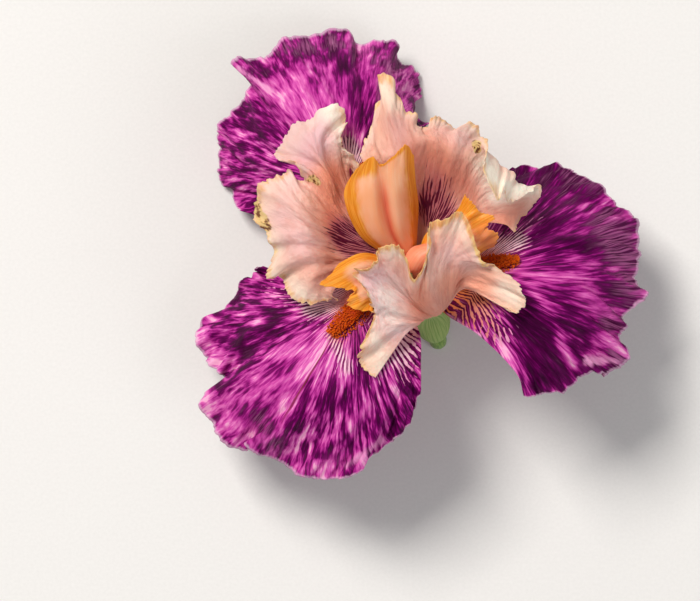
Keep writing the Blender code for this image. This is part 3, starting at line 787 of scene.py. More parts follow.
LEFT_WASH = {
    "hub": (-21, -8),
    "fan_from": 0.3,
    "lines_per_radian": 16,
    "stretch": 0.75,
    "flank": [(0, -12, -2, -34, 7, 0.5)],
    "flank_angle": 1.5,
    "calm": [(-36, -24, -52, -42, 9, 0.7), (-68, -44, -54, -54, 8, 0.4)],
    "dark": [
        (-40, -42, -24, -47, 7, 0.03), (-62, -23, -46, -20, 4, 0.26), (-62, 0, -46, -12, 7, 0.08),
        (-41, -25, -31, -33, 6, -0.2), (-30, -21, -45, -42, 3.5, -0.22), (-70, -46, -58, -56, 7, -0.22),
        (-43, -63, -23, -64, 5, -0.08), (-6, -39, -1, -25, 5, 0.16), (-56, -48, -49, -54, 4, 0.12),
        (-62, -30, -52, -33, 4, -0.12), (-10, -52, -2, -42, 5, 0.16),
    ],
    "lines": [
        (-36, -11, -25, -9, 4.5, 0.9), (-29, -20, -24, -31, 3.5, 0.7), (-5, -26, 0, -15, 5, 0.75),
        (-50, -5, -44, -8, 4, 0.35), (-14, -34, -10, -30, 4, 0.4), (-4, -34, 0, -26, 4, 0.35),
    ],
    "rust": [(-20, -3, -17, -8, 4, 0.9), (0, -14, -2, -18, 4, 0.4)],
    "orange": [(-21, -9, -26, -18, 4.2, 1.0)],
    "shaded_margin": [(-53, -50, -49, -58, 5, 0.45), (-74, -22, -72, -32, 3, 0.4), (-36, -66, -20, -62, 4, 0.25)],
    "pale": [(-70, -46, -66, -52, 3, 0.35), (-12, -56, -24, -65, 2, 0.5)],
    "midrib": [(-29, -21, -45, -43, 5, 1.0)],
    "midrib_heading": -121,
}


# %% Falls
def vein_fan(sheet, hub, heading, row, stretch, seed):
    """Each point's angle round the hub from the heading, its cm from the foot times stretch, and the seed.

    Beyond the given row the angle is atan2 of the step from the hub. Before it, each column keeps that row's.
    """
    step_out = sheet[..., :2] - hub
    turn = math.radians(heading)
    ahead = step_out[..., 0] * math.cos(turn) + step_out[..., 1] * math.sin(turn)
    aside = step_out[..., 1] * math.cos(turn) - step_out[..., 0] * math.sin(turn)
    angle = np.arctan2(aside, ahead)
    angle[:row] = angle[row]
    spans = np.linalg.norm(np.diff(sheet, axis=0), axis=2)
    along = np.concatenate([np.zeros((1, sheet.shape[1])), np.cumsum(spans, axis=0)]) / 10
    return np.stack([angle, stretch * eased(along, 6), np.full(angle.shape, float(seed))], -1)


def fall_masks(smooth, wash, heading, seed):
    """The masks and lines that the falls' finish reads, from one wash."""
    masks = washed(smooth, wash, "flank", "fork", "calm", "orange", "shaded_margin", "pale", "midrib")
    masks["dark"] = strokes(smooth, wash["dark"])
    share = deep[:, None]
    lined = np.clip(strokes(smooth, wash["lines"]) + 0.6 * (1 - ramp_up(share, 0.24, 0.4)), 0, 1)
    masks["lines"] = lined * (1 - 0.36 * masks["flank"])
    masks["rust"] = np.clip(strokes(smooth, wash["rust"]) + 0.9 * (1 - ramp_up(share, 0.12, 0.26)), 0, 1)
    hub = np.array(wash["hub"]) + masks["flank"][..., None] * np.array(wash.get("flank_shift", (0, 0)))
    heading = wash.get("midrib_heading", heading)
    fan_row = int(np.searchsorted(deep, wash["fan_from"]))
    masks["veins"] = vein_fan(smooth, hub, heading, fan_row, wash["stretch"], seed)
    angle = masks["veins"][..., 0]
    widened = angle - FLANK_WIDENING * masks["flank"] * (angle - wash.get("flank_angle", 0.0))
    masks["phase"] = 2 * math.pi * wash["lines_per_radian"] * widened
    return masks


def fall(side, shape, seed, wash):
    """A fall at the solid's place: its sheet, folds and toothed hem, thinning from foot to hem."""
    smooth = ruffled(shape, FALL_KIND, wide, deep, wash.get("still", ()))
    sheet = crimped(smooth, wide, deep, seed, 9, fold_depth=0.6, ruffle_depth=0.8, tooth=0.5)
    half = thinning(deep, 0.62, 0.24)
    sheet[..., 2] = np.maximum(sheet[..., 2], half[:, None] + TABLE_GAP - THROAT[2])
    masks = fall_masks(smooth, wash, shape["heading"], seed)
    blade("petal_" + side, sheet, half, wide, deep, fall_finish, "fall_" + side, seed, masks)


fall("back", FALL_BACK, 11, BACK_WASH)
fall("right", FALL_RIGHT, 23, RIGHT_WASH)
fall("left", FALL_LEFT, 37, LEFT_WASH)

# %% [markdown]
# ## The standards' finish: peach, cream and a veined flush
#
# The standards are peach to lavender pink, with ochre crimped hems and a maroon flush of branching veins
# deep inside. Their flesh is thinner than the falls', so more light passes through it.

# %% Standard finish
standard_finish = finish("peach_with_ochre_hem", 0.55, through=0.35, gloss=0.25)
cloud = grain(7, 3, detail=3.0)
skin_tone = mix(rise(cloud, 0.35, 0.65), (228, 170, 146), (236, 192, 176))
skin_tone = mix(mask("lilac"), skin_tone, (228, 186, 190))
# A deeper rose tone: partly the petal's own, partly painted shade in the cup and creases.
skin_tone = mix(mask("rose_and_shade"), skin_tone, (212, 134, 112))
skin_tone = mix(mask("salmon"), skin_tone, (244, 154, 122))
skin_tone = mix(mask("cream"), skin_tone, (250, 238, 222))
mottle = rise(grain(30, 14, detail=3.0, turn=11.0), 0.48, 0.66, most=0.3)
skin_tone = mix(mottle, skin_tone, (204, 130, 112))
fine = grain(90, 8, turn=3.0)
skin_tone = mix(rise(fine, 0.5, 0.7, most=0.14), skin_tone, (184, 112, 108))
skin_tone = mix(times(mask("hem_cream"), 0.3), skin_tone, (250, 228, 204))
skin_tone = mix(mask("shade"), skin_tone, (170, 104, 92))

# %% Flush, hem and frayed places
THREADS = 46
flush = mask("flush")
veined = mix(rise(flush, 0.05, 0.9, most=0.75), skin_tone, (176, 78, 104))
thread_wander = swing(grain(11, 5, turn=6.0), 15.0)
thread_place = calc("MULTIPLY_ADD", run_of("X"), 2 * math.pi * THREADS, thread_wander)
thread_breaks = swing(grain(60, 9, turn=9.0), 4.5)
threads = calc("MULTIPLY_ADD", calc("SINE", thread_place), 0.6, thread_breaks)
thread_share = rise(calc("MULTIPLY_ADD", flush, 1.75, threads), 1.15, 1.8)
thread_share = times(thread_share, rise(flush, 0.03, 0.3))
veined = mix(thread_share, veined, (92, 8, 46))
ochre = mix(rise(fine, 0.4, 0.6), (208, 142, 70), (240, 196, 122))
hem = plus(mask("hem"), swing(grain(80, 20, detail=3.0, turn=8.0), 1.1))
veined = mix(rise(hem, 0.35, 1.0, most=0.85), veined, ochre)
scorch = grain(70, 30, detail=3.0, turn=2.0)
browns = (0.0, 64, 34, 18), (0.42, 112, 64, 34), (0.5, 214, 178, 116), (1.0, 238, 214, 168)
frayed = ramp(scorch, *browns)
fray = plus(mask("fray"), swing(grain(40, 16, turn=4.0), 0.8))
veined = mix(rise(fray, 0.5, 0.75), veined, frayed)
crinkle = grain(34, 16, detail=4.0, turn=5.0, rough=0.6)
dress(veined, calc("MULTIPLY_ADD", fine, 0.12, crinkle), 0.0009)
print("the standards' finish has", len(BENCH["net"].nodes), "nodes")

# %% [markdown]
# ## The three standards
#
# On a fresh bloom the standards close over the throat. Here they have opened and flopped outwards, so we
# look at their inner faces, with hems that fold back over. Each one climbs from a narrow claw.

# %% Outlines of the standards
STANDARD_RIGHT = {
    "heading": 54,
    "turn": 0.9,
    "claw": ((-1, 16.5, 3), (1.5, 17, 6), (4.5, 15.5, 7.5), (7.5, 12.5, 8.5), (8.5, 9, 9)),
    "belly": (
        (-13, 32, 14), (-8, 33, 14.5), (0, 31, 15), (9, 28, 15), (15, 24, 16), (19, 20, 18), (21, 17, 19),
    ),
    "ridge": (
        (-18, 39, 16), (-11, 41.5, 24), (-4, 44.5, 28), (4, 45.5, 30), (12, 42.5, 29), (19, 38.5, 26),
        (22, 32, 23), (24.5, 25.5, 21), (27, 18, 20.5),
    ),
    "fold": (
        (-18.3, 40, 14.5), (-14.5, 48, 17), (-11, 56, 16), (-4.5, 52.5, 22), (2, 48.5, 27), (9, 49.5, 26),
        (17, 46.5, 24.5), (23.5, 42, 23), (30, 36.5, 21), (34, 32, 19), (38, 27, 15.5), (30.5, 17, 19.5),
    ),
    "hem": (
        (-18.5, 41, 13), (-17.5, 47, 13), (-14.5, 56, 8), (-11, 62, 5), (-13, 68.5, 5), (-8, 67.5, 8),
        (-5.5, 60, 12), (-1, 54, 18), (1, 50, 23), (5, 53.5, 22), (9, 53, 19), (14, 50, 20), (18.5, 51, 18),
        (22, 48.5, 20.5), (24, 43, 26.5), (22, 36.5, 33), (26.5, 25.5, 34), (29, 29.5, 31),
        (30, 25.5, 28.5), (34.5, 26, 25), (41.5, 31, 14), (41.5, 27, 12), (36.5, 20, 15), (33, 14.6, 18),
    ),
}
STANDARD_LEFT = {
    "heading": 178,
    "turn": 2.2,
    "claw": ((-9, 4, 7), (-11, 6, 7), (-12, 8.5, 6), (-11.5, 11, 4.5), (-9.5, 12.5, 3.5)),
    "belly": (
        (-23, 0, 14), (-25, 5, 14.5), (-26, 11, 13), (-26, 18, 12), (-25.5, 23.5, 11), (-24, 28, 10.5),
        (-22, 31.5, 10.5),
    ),
    "ridge": (
        (-29, -6, 18), (-36, 1, 23), (-40, 9, 25), (-41, 18, 25), (-40, 25, 23), (-35, 30, 18),
        (-33, 37, 19), (-34, 45, 21), (-27.5, 44, 19), (-23, 37, 14),
    ),
    "hem": (
        (-27, -8, 17), (-33, -9, 18), (-40, -8.5, 18), (-44.5, -4.5, 16), (-47, -1, 13), (-50.5, 1, 12),
        (-49.5, 8, 14), (-50, 14, 14), (-56.5, 20, 9), (-55, 26, 8), (-52, 31.5, 9), (-47, 35, 10),
        (-43, 35.3, 10), (-40.5, 33.2, 12.5), (-38.7, 34.4, 16), (-41, 38.3, 18.5), (-48.5, 41, 14),
        (-46, 45, 13), (-42, 52, 12), (-35, 55, 11), (-26.5, 57, 12), (-23.5, 53, 14), (-26, 47, 17),
        (-24, 43, 16), (-20, 38.5, 13), (-21.5, 35, 12),
    ),
}
STANDARD_FRONT = {
    "heading": -66,
    "turn": 4.0,
    "claw": ((9.5, -9.5, 12), (9, -11.5, 13), (7, -13, 14), (4.5, -13.8, 14.5), (1.5, -14, 14)),
    "belly": (
        (17.5, -4.5, 22.5), (18.5, 1, 27), (15.5, 5, 32), (9, 6, 33.5), (3, -2, 31), (-1, -7, 28),
        (-7, -1, 31), (-13, -1, 30), (-12, -9, 27), (-10, -16, 24), (-5, -21, 20),
    ),
    "hem": (
        (29, -10.9, 27), (34, -12, 27), (36.5, -8.5, 28), (35, -4, 29), (31, 0.5, 29), (26.2, 3.2, 29),
        (22.5, 5, 31), (20.5, 8, 34), (17.5, 16, 38), (14, 21.5, 38), (9, 19, 40), (5, 17.5, 40.5),
        (1.8, 14.5, 40), (4.4, 10.2, 39), (3, 5.2, 37.5), (-0.7, -0.9, 35), (-4, 4.8, 38), (-6, 9, 40),
        (-9, 11.2, 40), (-13.3, 9, 38), (-13.8, 5.5, 37), (-17, 3, 35), (-21.3, 1.7, 33), (-20.5, -1.5, 31),
        (-17.5, -5, 29), (-15.3, -11, 27), (-14.5, -14, 26), (-17.5, -20, 24), (-20, -26, 22),
        (-18.5, -31, 21), (-14.3, -34.5, 20),
    ),
}

# %% [markdown]
# The washes tell the three apart: lavender and cream where a flap turns over, a flush where we look down
# into the claw, frayed brown places, and a plain hem where the ochre is missing. A deeper rose in the cups
# and creases is partly the petal's tone and partly painted shade, and the shade strokes are painted shade.

# %% Washes on the standards
STANDARD_KIND = {"foot": (42, 4.0, 0.7), "grid": (44, 9), "waves": 10, "depth": 1.4}
STANDARD_RIGHT_WASH = {
    "rose_and_shade": [(5, 40, 16, 32, 8, 0.9)],
    "flush": [(2, 24, 9, 17, 4.5, 1.1), (5, 30, 11, 22, 5, 0.6), (3, 38, 10, 32, 4, 0.25)],
    "cream": [(23, 38, 27, 28, 4.5, 1.0), (29, 28, 38, 30, 3.5, 1.0), (-11, 64, -8, 57, 3, 0.5)],
    "still": [(22, 40, 28, 27, 7, 0.9), (32, 27, 40, 29, 5, 0.8)],
    "lilac": [(-7, 52, -5, 42, 4, 0.5), (8, 48, 16, 46, 4, 0.4)],
    "salmon": [(28, 19, 36, 18, 6, 0.7), (0, 44, 6, 44, 5, 0.3)],
    "fray": [(20, 44.5, 20, 43, 2.2, 1.0)],
    "plain_hem": [(32, 32, 42, 22, 5, 0.6)],
    "shade": [
        (30, 22, 38, 20, 5, 0.5), (21, 30, 24, 24, 3, 0.3), (16, 36, 14, 28, 4, 0.2),
        (-8, 53, -2, 44, 5, 0.45),
    ],
}
STANDARD_LEFT_WASH = {
    "rose_and_shade": [(-35, 33, -33, 31, 3, 0.5)],
    "flush": [(-25, 14, -18, 7, 5, 1.5), (-29, 21, -26, 16, 3.5, 0.25)],
    "cream": [(-29, 57, -22, 42, 3.5, 0.9), (-57, 10, -50, 10, 3, 1.0), (-47, 0, -40, -6, 5, 0.4)],
    "lilac": [
        (-32, 57, -25, 50, 5, 0.7), (-41, 47, -46, 40, 9, 1.2), (-34, 44, -36, 40, 6, 0.6),
        (-46, 20, -40, 10, 8, 0.6),
    ],
    "salmon": [(-29, 34, -28, 20, 6, 1.0), (-35, -1, -28, 2, 6, 0.4)],
    "fray": [(-55, 25, -52, 17, 3, 1.0), (-36, 33, -34, 32, 2, 0.9)],
    "plain_hem": [(-46, 46, -28, 60, 6, 0.6)],
    "shade": [(-44, 46, -36, 42, 8, 0.24), (-34, -2, -30, 3, 4, 0.25)],
}
STANDARD_FRONT_WASH = {
    "rose_and_shade": [(8, -4, 12, -10, 4, 0.3)],
    "cream": [
        (-14, -22, -11, -31, 3, 0.6), (-9, 11, -8, 9, 3, 0.5), (14, 18, 14, 16, 4, 0.4),
        (29, -4, 33, -7, 3.5, 0.6), (-11, -6, -8, -14, 5, 0.55),
    ],
    "lilac": [(-14, -4, -6, -16, 8, 1.0), (10, 8, 16, 4, 5, 0.4)],
    "salmon": [(0, -12, 8, -16, 6, 0.8), (14, -2, 24, -4, 5, 0.6), (0, -5, 1, -8, 3, 0.4)],
    "plain_hem": [(29, -2, 36, -9, 6, 0.8), (-15, -28, -10, -35, 5, 0.6)],
    "shade": [(0, -11, 5, -16, 4, 0.28), (6, -8, 14, -14, 4, 0.3), (12, 2, 15, -4, 3, 0.2)],
}


# %% Standards
def standard(side, shape, seed, gilding, wash):
    """A standard at the solid's place, with soft folds, a jagged hem and so much ochre on it."""
    still = wash.get("still", ())
    smooth = ruffled(shape, STANDARD_KIND, broad, tall, still)
    sheet = crimped(smooth, broad, tall, seed, 8, fold_depth=0.5, ruffle_depth=0.75, tooth=1.2, still=still)
    masks = washed(smooth, wash, "rose_and_shade", "flush", "cream", "lilac", "salmon", "fray", "shade")
    plain = washed(smooth, wash, "plain_hem")["plain_hem"]
    masks["hem"] = gilding * ramp_up(tall, 0.91, 0.995)[:, None] * (1 - plain)
    masks["hem_cream"] = ramp_up(tall, 0.86, 0.97)[:, None] + 0 * broad
    half = thinning(tall, 0.55, 0.22)
    node = "standard_" + side
    blade("banner_" + side, sheet, half, broad, tall, standard_finish, node, seed, masks)


broad, tall = shares(380, 70, 14)
standard("right", STANDARD_RIGHT, 41, 0.72, STANDARD_RIGHT_WASH)
standard("left", STANDARD_LEFT, 53, 0.72, STANDARD_LEFT_WASH)
standard("front", STANDARD_FRONT, 67, 1.0, STANDARD_FRONT_WASH)

# %% [markdown]
# ## The style arms' finish: apricot with golden hems
#
# Each arm is a fleshy roof over a beard: salmon on its two ridges, deeper orange in the groove between
# them, and golden ochre along its sides and frilled crest. It is thick and waxy, so it shines a little more
# than a petal. One arm also has a ruddy corner of painted shade, where its rim lies in shadow.

# %% Arm finish
arm_finish = finish("apricot_with_golden_hem", 0.42, through=0.35)
flesh = grain(5, 2.5, detail=3.0)
streaks = grain(60, 3, turn=3.0)
apricot = mix(rise(flesh, 0.3, 0.7), (255, 176, 128), (255, 196, 158))
apricot = mix(mask("groove"), apricot, (222, 108, 78))
apricot = mix(rise(streaks, 0.5, 0.7, most=0.2), apricot, (255, 208, 176))
gold_share = plus(swing(grain(20, 12, detail=3.0), 0.6), mask("gold"))
golden = mix(rise(streaks, 0.35, 0.65), (226, 134, 24), (242, 168, 62))
apricot = mix(rise(gold_share, 0.15, 0.85), apricot, golden)
# Painted shade: a ruddy tone where the right arm's rim lies in shadow.
apricot = mix(mask("rim_shade"), apricot, (202, 116, 78))
dress(apricot, flesh, 0.0002)
print("the arms' finish has", len(BENCH["net"].nodes), "nodes")

# %% [markdown]
# ## The three style arms
#
# An arm grows from the column in the middle, arches over its beard and ends in a frilled crest. Its lines
# run from the narrow foot to the crest, and on two arms one more line, at the neck, lets the crest turn up.

# %% Outlines of the arms
ARM_BACK = {
    "heading": 118,
    "low": (
        (-18.5, 13, 12), (-16, 14.5, 15.5), (-12, 15, 17), (-8.5, 15, 14.5), (-5.5, 16, 17), (-2, 16.5, 15),
        (0, 16, 11),
    ),
    "high": (
        (-24, 23.5, 16), (-20, 26, 21), (-15, 27, 24), (-11, 26.5, 21), (-7.5, 27, 24.5), (-3, 27.5, 22),
        (0.3, 25.5, 17),
    ),
    "neck": (
        (-24.5, 30, 19), (-20, 34, 24), (-15.5, 36, 28), (-12, 35, 26), (-8.5, 36, 29), (-4, 37, 29),
        (-1, 34.5, 23),
    ),
    "crest": (
        (-22.5, 34, 22), (-18, 38.5, 28), (-15, 40, 30), (-12.3, 37.5, 28), (-8, 40.5, 32), (-4, 44, 34),
        (-1.3, 40.5, 29),
    ),
}
ARM_RIGHT = {
    "heading": -10,
    "low": ((3, 14, 13), (5, 12, 17), (6, 8, 16), (6.5, 4, 18), (5.5, 0, 14)),
    "high": ((10, 19, 21), (12.5, 16.5, 26), (14.5, 12, 25), (16, 8, 27), (16, 3.5, 21)),
    "neck": ((14, 23, 25), (17, 20.5, 30), (19.5, 16.5, 28), (22, 12.5, 29), (22.5, 8.5, 23)),
    "crest": (
        (16, 27, 28), (18.5, 24.5, 32), (21, 21.5, 30), (25.8, 19.8, 31), (23, 16.5, 29.5), (27, 14, 30),
        (26, 9.5, 24),
    ),
}
ARM_LEFT = {
    "heading": -130,
    "low": ((-8, -5, 13), (-10.5, -3, 16), (-12.5, 0, 15.5), (-13, 3.5, 16), (-13, 7, 12)),
    "high": ((-14.5, -9, 19), (-18, -6.5, 22), (-20.5, -2, 21.5), (-21, 3, 22), (-20, 7.5, 18)),
    "crest": (
        (-15, -12, 21), (-22, -11, 23), (-23.5, -8, 24), (-21.5, -5, 23.5), (-27, -4, 25), (-33, -3, 26),
        (-30, 0, 25), (-26, 4.5, 21),
    ),
}

# %% Arms
ARM_FOOT = (40, 2.4, 7.5)
arm_wide, arm_deep = shares(110, 70, 16)


def style_arm(side, shape, seed, frill, bare, rim_shade=()):
    """An arm at the solid's place: frill is its teeth in mm, and its crest is gold up to the share bare."""
    smooth = loft(lines_of(shape, ARM_FOOT), arm_wide, arm_deep)
    sheet = crimped(smooth, arm_wide, arm_deep, seed, 2.5, 0.15, ruffle_depth=0.4 * frill, tooth=frill)
    a, s = arm_wide[None, :], arm_deep[:, None]
    flanks = np.maximum(ramp_up(0.5 - a, 0.22, 0.44), 0.85 * ramp_up(a - 0.5, 0.18, 0.42))
    crest = ramp_up(s, 0.72, 0.92) * (1 - ramp_up(a, bare - 0.1, bare + 0.1))
    masks = {
        "gold": np.maximum(flanks, np.maximum(crest, ramp_up(s, 0.93, 1.0))),
        "groove": np.exp(-(((a - 0.5) / 0.07) ** 2)) * (1 - ramp_up(s, 0.6, 0.9)),
        # The strokes below mark where shade is painted on the rim.
        "rim_shade": np.clip(strokes(smooth, rim_shade), 0, 1),
    }
    half = thinning(arm_deep, 0.8, 0.3)
    node = "style_arm_" + side
    blade("roof_" + side, sheet, half, arm_wide, arm_deep, arm_finish, node, seed, masks)


style_arm("back", ARM_BACK, 71, 0.6, 0.45)
# The right arm's rim corner gets painted shade.
style_arm("right", ARM_RIGHT, 83, 0.9, 1.2, rim_shade=[(23, 13, 28, 8, 4.5, 0.85)])
style_arm("left", ARM_LEFT, 97, 0.8, 1.2)

# %% [markdown]
# ## Beards: a low hump and hundreds of short hairs
#
# The beard that names this iris is a strip of rust-orange hairs along the haft. A particle system would do
# it, but particles are lost when the model is exported, so each hair is a small closed mesh: a bent, five-
# sided tube with a clubbed tip. All hairs of a beard are worked out as one array and fused into one piece.

# %% Beard finish
beard_finish = finish("rust_orange_hairs", 0.6, through=0.1, gloss=0.15)
patch = dusting(700.0)
hair_root = mix(patch, (148, 40, 4), (190, 66, 8))
hair_tip = mix(patch, (212, 78, 6), (238, 114, 20))
dress(mix(mask("tip"), hair_root, hair_tip), patch, 0.0002)

# %% Beard humps
BEARD_HALF_WIDTH = 2.7
BEARD_HEIGHT = 2.7
BEARD_START = 0.17
HUMP_SHARE = 0.55
HUMP_EDGE = 0.3
BEARD_COLUMNS, BEARD_ROWS = 16, 60
beard_side = np.linspace(-1, 1, BEARD_COLUMNS + 1)
beard_run = even(BEARD_ROWS + 1)


def haft_strip(shape, middle, end, half_width):
    """A strip of the fall, so wide each way from its middle, and its normals, from the solid's own sheet.

    Past half its length it narrows by sqrt(1 - 0.9 t^2).
    """
    sheet = ruffled(shape, FALL_KIND, solid_across, solid_along)
    stations = np.linspace(BEARD_START, end, BEARD_ROWS + 1)
    haft = curve_through(sheet, solid_along, stations)
    out = curve_through(normals_of(sheet), solid_along, stations)
    width = np.linalg.norm(np.diff(haft, axis=1), axis=2).sum(axis=1)
    taper = np.sqrt(1 - 0.9 * np.clip((beard_run - 0.5) / 0.5, 0, 1) ** 2)
    places = middle + beard_side * (half_width * taper / width)[:, None]
    lower = np.array([curve_through(row, solid_across, at) for row, at in zip(haft, places)])
    lift = np.array([curve_through(row, solid_across, at) for row, at in zip(out, places)])
    return lower, unit(lift)


def hump(side):
    """The beard's height: an arch across, sqrt(1 - (0.93 side)^2), that rises with 0.35 + 1.1 run up to 1.

    Its free end is rounded by 1 - 0.6 run^8.
    """
    arch = np.sqrt(np.clip(1 - (0.93 * side) ** 2, 0, 1))
    run = beard_run[:, None]
    return arch * np.minimum(1, 0.35 + 1.1 * run) * (1 - run**8 * 0.6)


def beard_hump(name, shape, middle, end):
    """The low cushion under the hairs, a closed slab in the solid's stead."""
    lower, lift = haft_strip(shape, middle, end, BEARD_HALF_WIDTH)
    lower = lower + (0.5 * BLADE_THICK + PIECE_GAP) * lift
    height = HUMP_EDGE + HUMP_SHARE * BEARD_HEIGHT * hump(beard_side)
    points = np.concatenate([lower.reshape(-1, 3), (lower + height[..., None] * lift).reshape(-1, 3)])
    faces = np.concatenate(slab_faces(*height.shape)).tolist()
    finer_piece("beard_hump_" + name, points, faces, beard_finish, "beard_" + name)


# %% Beard hairs
TUFT_HALF_WIDTH = 4.6
TUFT_LONGER = 0.012
ROOT_DEPTH = 0.15
HAIRS = 860
HAIR_SIDES = 5


def tube_walls(index):
    """Faces between the rings of tubes, from the points' numbers: the last axis goes round a ring."""
    beside = np.roll(index, -1, axis=-1)
    corners = [index[..., :-1, :], beside[..., :-1, :], beside[..., 1:, :], index[..., 1:, :]]
    return np.stack(corners, -1).reshape(-1, 4).tolist()


def hairs(roots, lifts, leans, lengths, radii):
    """Bent tubes: root + length (t lift + t^2 lean), with a radius that swells near the tip and closes."""
    t = np.array([0.0, 0.35, 0.7, 0.93, 1.0])
    swell = np.array([0.75, 0.7, 1.0, 0.85, 0.25])
    bent = t[:, None] * lifts[:, None] + (t**2)[:, None] * leans[:, None]
    path = roots[:, None] + lengths[:, None, None] * bent
    first = unit(np.cross(lifts, SIDE))
    second = np.cross(lifts, first)
    turn = 2 * math.pi * np.arange(HAIR_SIDES) / HAIR_SIDES
    ring = first[:, None] * np.cos(turn)[:, None] + second[:, None] * np.sin(turn)[:, None]
    points = path[:, :, None] + (radii[:, None] * swell)[:, :, None, None] * ring[:, None]
    index = np.arange(points[..., 0].size).reshape(points.shape[:3])
    ends = index[:, 0, ::-1].tolist() + index[:, -1].tolist()
    tips = np.broadcast_to(t[None, :, None], index.shape).ravel()
    return points.reshape(-1, 3), tube_walls(index) + ends, tips


def beard_hairs(name, shape, middle, end, seed):
    """Hairs on the cushion and beside it, which lean outwards and towards the hem."""
    lower, lift = haft_strip(shape, middle, end + TUFT_LONGER, TUFT_HALF_WIDTH)
    spread = beard_side * TUFT_HALF_WIDTH / BEARD_HALF_WIDTH
    arch = hump(spread)
    height = np.where(abs(spread) < 1, HUMP_SHARE * BEARD_HEIGHT * arch, 0) + 0.5 * BLADE_THICK
    draw = np.random.default_rng(seed)
    run, reach = draw.uniform(0, 1, HAIRS), draw.uniform(-1, 1, HAIRS)
    at_row = BEARD_ROWS * (0.02 + 0.97 * run)
    at_column = BEARD_COLUMNS * 0.5 * (1 + 0.98 * reach)
    here = at_row.round().astype(int), at_column.round().astype(int)
    across = unit(np.gradient(lower, axis=1))[here]
    along = unit(np.gradient(lower, axis=0))[here]
    jitter = draw.uniform(-0.3, 0.3, (HAIRS, 2))
    roots = (lower + (height - ROOT_DEPTH)[..., None] * lift)[here]
    roots = roots + jitter[:, :1] * across + jitter[:, 1:] * along
    sway = draw.uniform(-0.25, 0.25, (HAIRS, 2))
    lean_out = (2 * at_column / BEARD_COLUMNS - 1)[:, None]
    lifts = unit(lift[here] + (0.6 * lean_out + sway[:, :1]) * across + (0.25 + sway[:, 1:]) * along)
    leans = 0.25 * lean_out * across + 0.3 * along
    lengths = BEARD_HEIGHT * (0.28 + 0.36 * arch[here]) * draw.uniform(0.8, 1.15, HAIRS)
    points, faces, tips = hairs(roots, lifts, leans, lengths, draw.uniform(0.15, 0.21, HAIRS))
    tuft = finer_piece("beard_hairs_" + name, points, faces, beard_finish, None)
    carry(tuft, tip=tips)


for name, shape, middle, end, seed in (
    ("back", FALL_BACK, 0.5, 0.44, 101),
    ("right", FALL_RIGHT, 0.46, 0.43, 103),
    ("left", FALL_LEFT, 0.53, 0.42, 107),
):
    beard_hump(name, shape, middle, end)
    beard_hairs(name, shape, middle, end, seed)

# %% [markdown]
# ## Rods: stamens, column, tube, ovary and stub
#
# All the round parts are one formula: a ring carried along a path, with a radius at each point and a little
# lobing. A cylinder would have to be bent and scaled by hand. The ring's points carry their turn as a
# cosine and a sine, so that the grain closes round the rod with no seam.


# %% Rod helper
def rod(name, path, radii, skin, node, sides=32, lobes=3, lobing=0.0, on_table=False):
    """A ring carried along a path, radius (1 + lobing cos(lobes turn)), with both ends closed."""
    path = np.asarray(path, float)
    tangent = unit(np.gradient(path, axis=0))
    first = unit(SIDE - (tangent @ SIDE)[:, None] * tangent)
    second = np.cross(tangent, first)
    turn = np.arange(sides) * 2 * math.pi / sides
    ring = first[:, None] * np.cos(turn)[None, :, None] + second[:, None] * np.sin(turn)[None, :, None]
    swell = np.asarray(radii, float)[:, None] * (1 + lobing * np.cos(lobes * turn))[None, :]
    rings = path[:, None] + ring * swell[..., None]
    ends = path[[0, -1]].copy()
    if on_table:
        slope = tangent[-1] / tangent[-1][2]
        rings[-1] -= (rings[-1][:, 2:] + THROAT[2]) * slope
        ends[1] -= (ends[1][2] + THROAT[2]) * slope
    points = np.concatenate([rings.reshape(-1, 3), ends])
    points[:, 2] = np.maximum(points[:, 2], -THROAT[2])
    start = len(path) * sides
    index = np.arange(start).reshape(len(path), sides)
    near = np.stack([np.roll(index[0], -1), index[0], np.full(sides, start)], 1).tolist()
    far = np.stack([index[-1], np.roll(index[-1], -1), np.full(sides, start + 1)], 1).tolist()
    made = finer_piece(name, points, tube_walls(index) + near + far, skin, node)
    run = even(len(path))[:, None] + 0 * turn
    round_grain = np.stack([np.cos(turn) + 0 * run, run, np.sin(turn) + 0 * run], -1).reshape(-1, 3)
    carry(made, grain=np.concatenate([round_grain, [[0, 0, 0], [0, 1, 0]]]))
    return made


# %% [markdown]
# A stamen is a pale thread under each arm that ends in a long anther. It hardly shows between arm and
# beard, but a real iris has three, and they fill the dark gap there.

# %% Stamens
stamen_finish = finish("cream_stamen", 0.6, through=0.3)
dust = dusting(2500.0)
anther_colour = mix(dust, (214, 190, 140), (240, 226, 190))
is_anther = rise(run_of("Y"), 0.46, 0.54)
dress(mix(is_anther, (232, 196, 176), anther_colour), dust, 0.0001)
THREAD_RADIUS = 0.45
ANTHER_SWELL = 0.5


def stamen(side, shape, arm_shape):
    """A thread from the tube's rim, between the fall and its arm, that thickens into the anther half-way."""
    sheet = ruffled(shape, FALL_KIND, solid_across, solid_along)
    arm_sheet = loft(lines_of(arm_shape, ARM_FOOT), even(15), even(9))
    haft = curve_through(sheet[:, 26], solid_along, np.array([0.12, 0.2, 0.28, 0.34]))
    roof = curve_through(arm_sheet[:, 7], even(9), np.array([0.3, 0.5, 0.7, 0.84]))
    route = np.concatenate([radial(shape["heading"], 2.75, 0.9)[None], haft + 0.62 * (roof - haft)])
    run = even(70)
    path = curve_through(route, even(len(route)), run)
    anther = np.clip((run - 0.5) / 0.08, 0, 1) * np.clip((1.03 - run) / 0.1, 0.3, 1)
    radii = THREAD_RADIUS + ANTHER_SWELL * anther
    node = "stamen_" + side
    rod("anther_" + side, path, radii, stamen_finish, node, sides=16, lobes=4, lobing=0.08)


stamen("back", FALL_BACK, ARM_BACK)
stamen("right", FALL_RIGHT, ARM_RIGHT)
stamen("left", FALL_LEFT, ARM_LEFT)

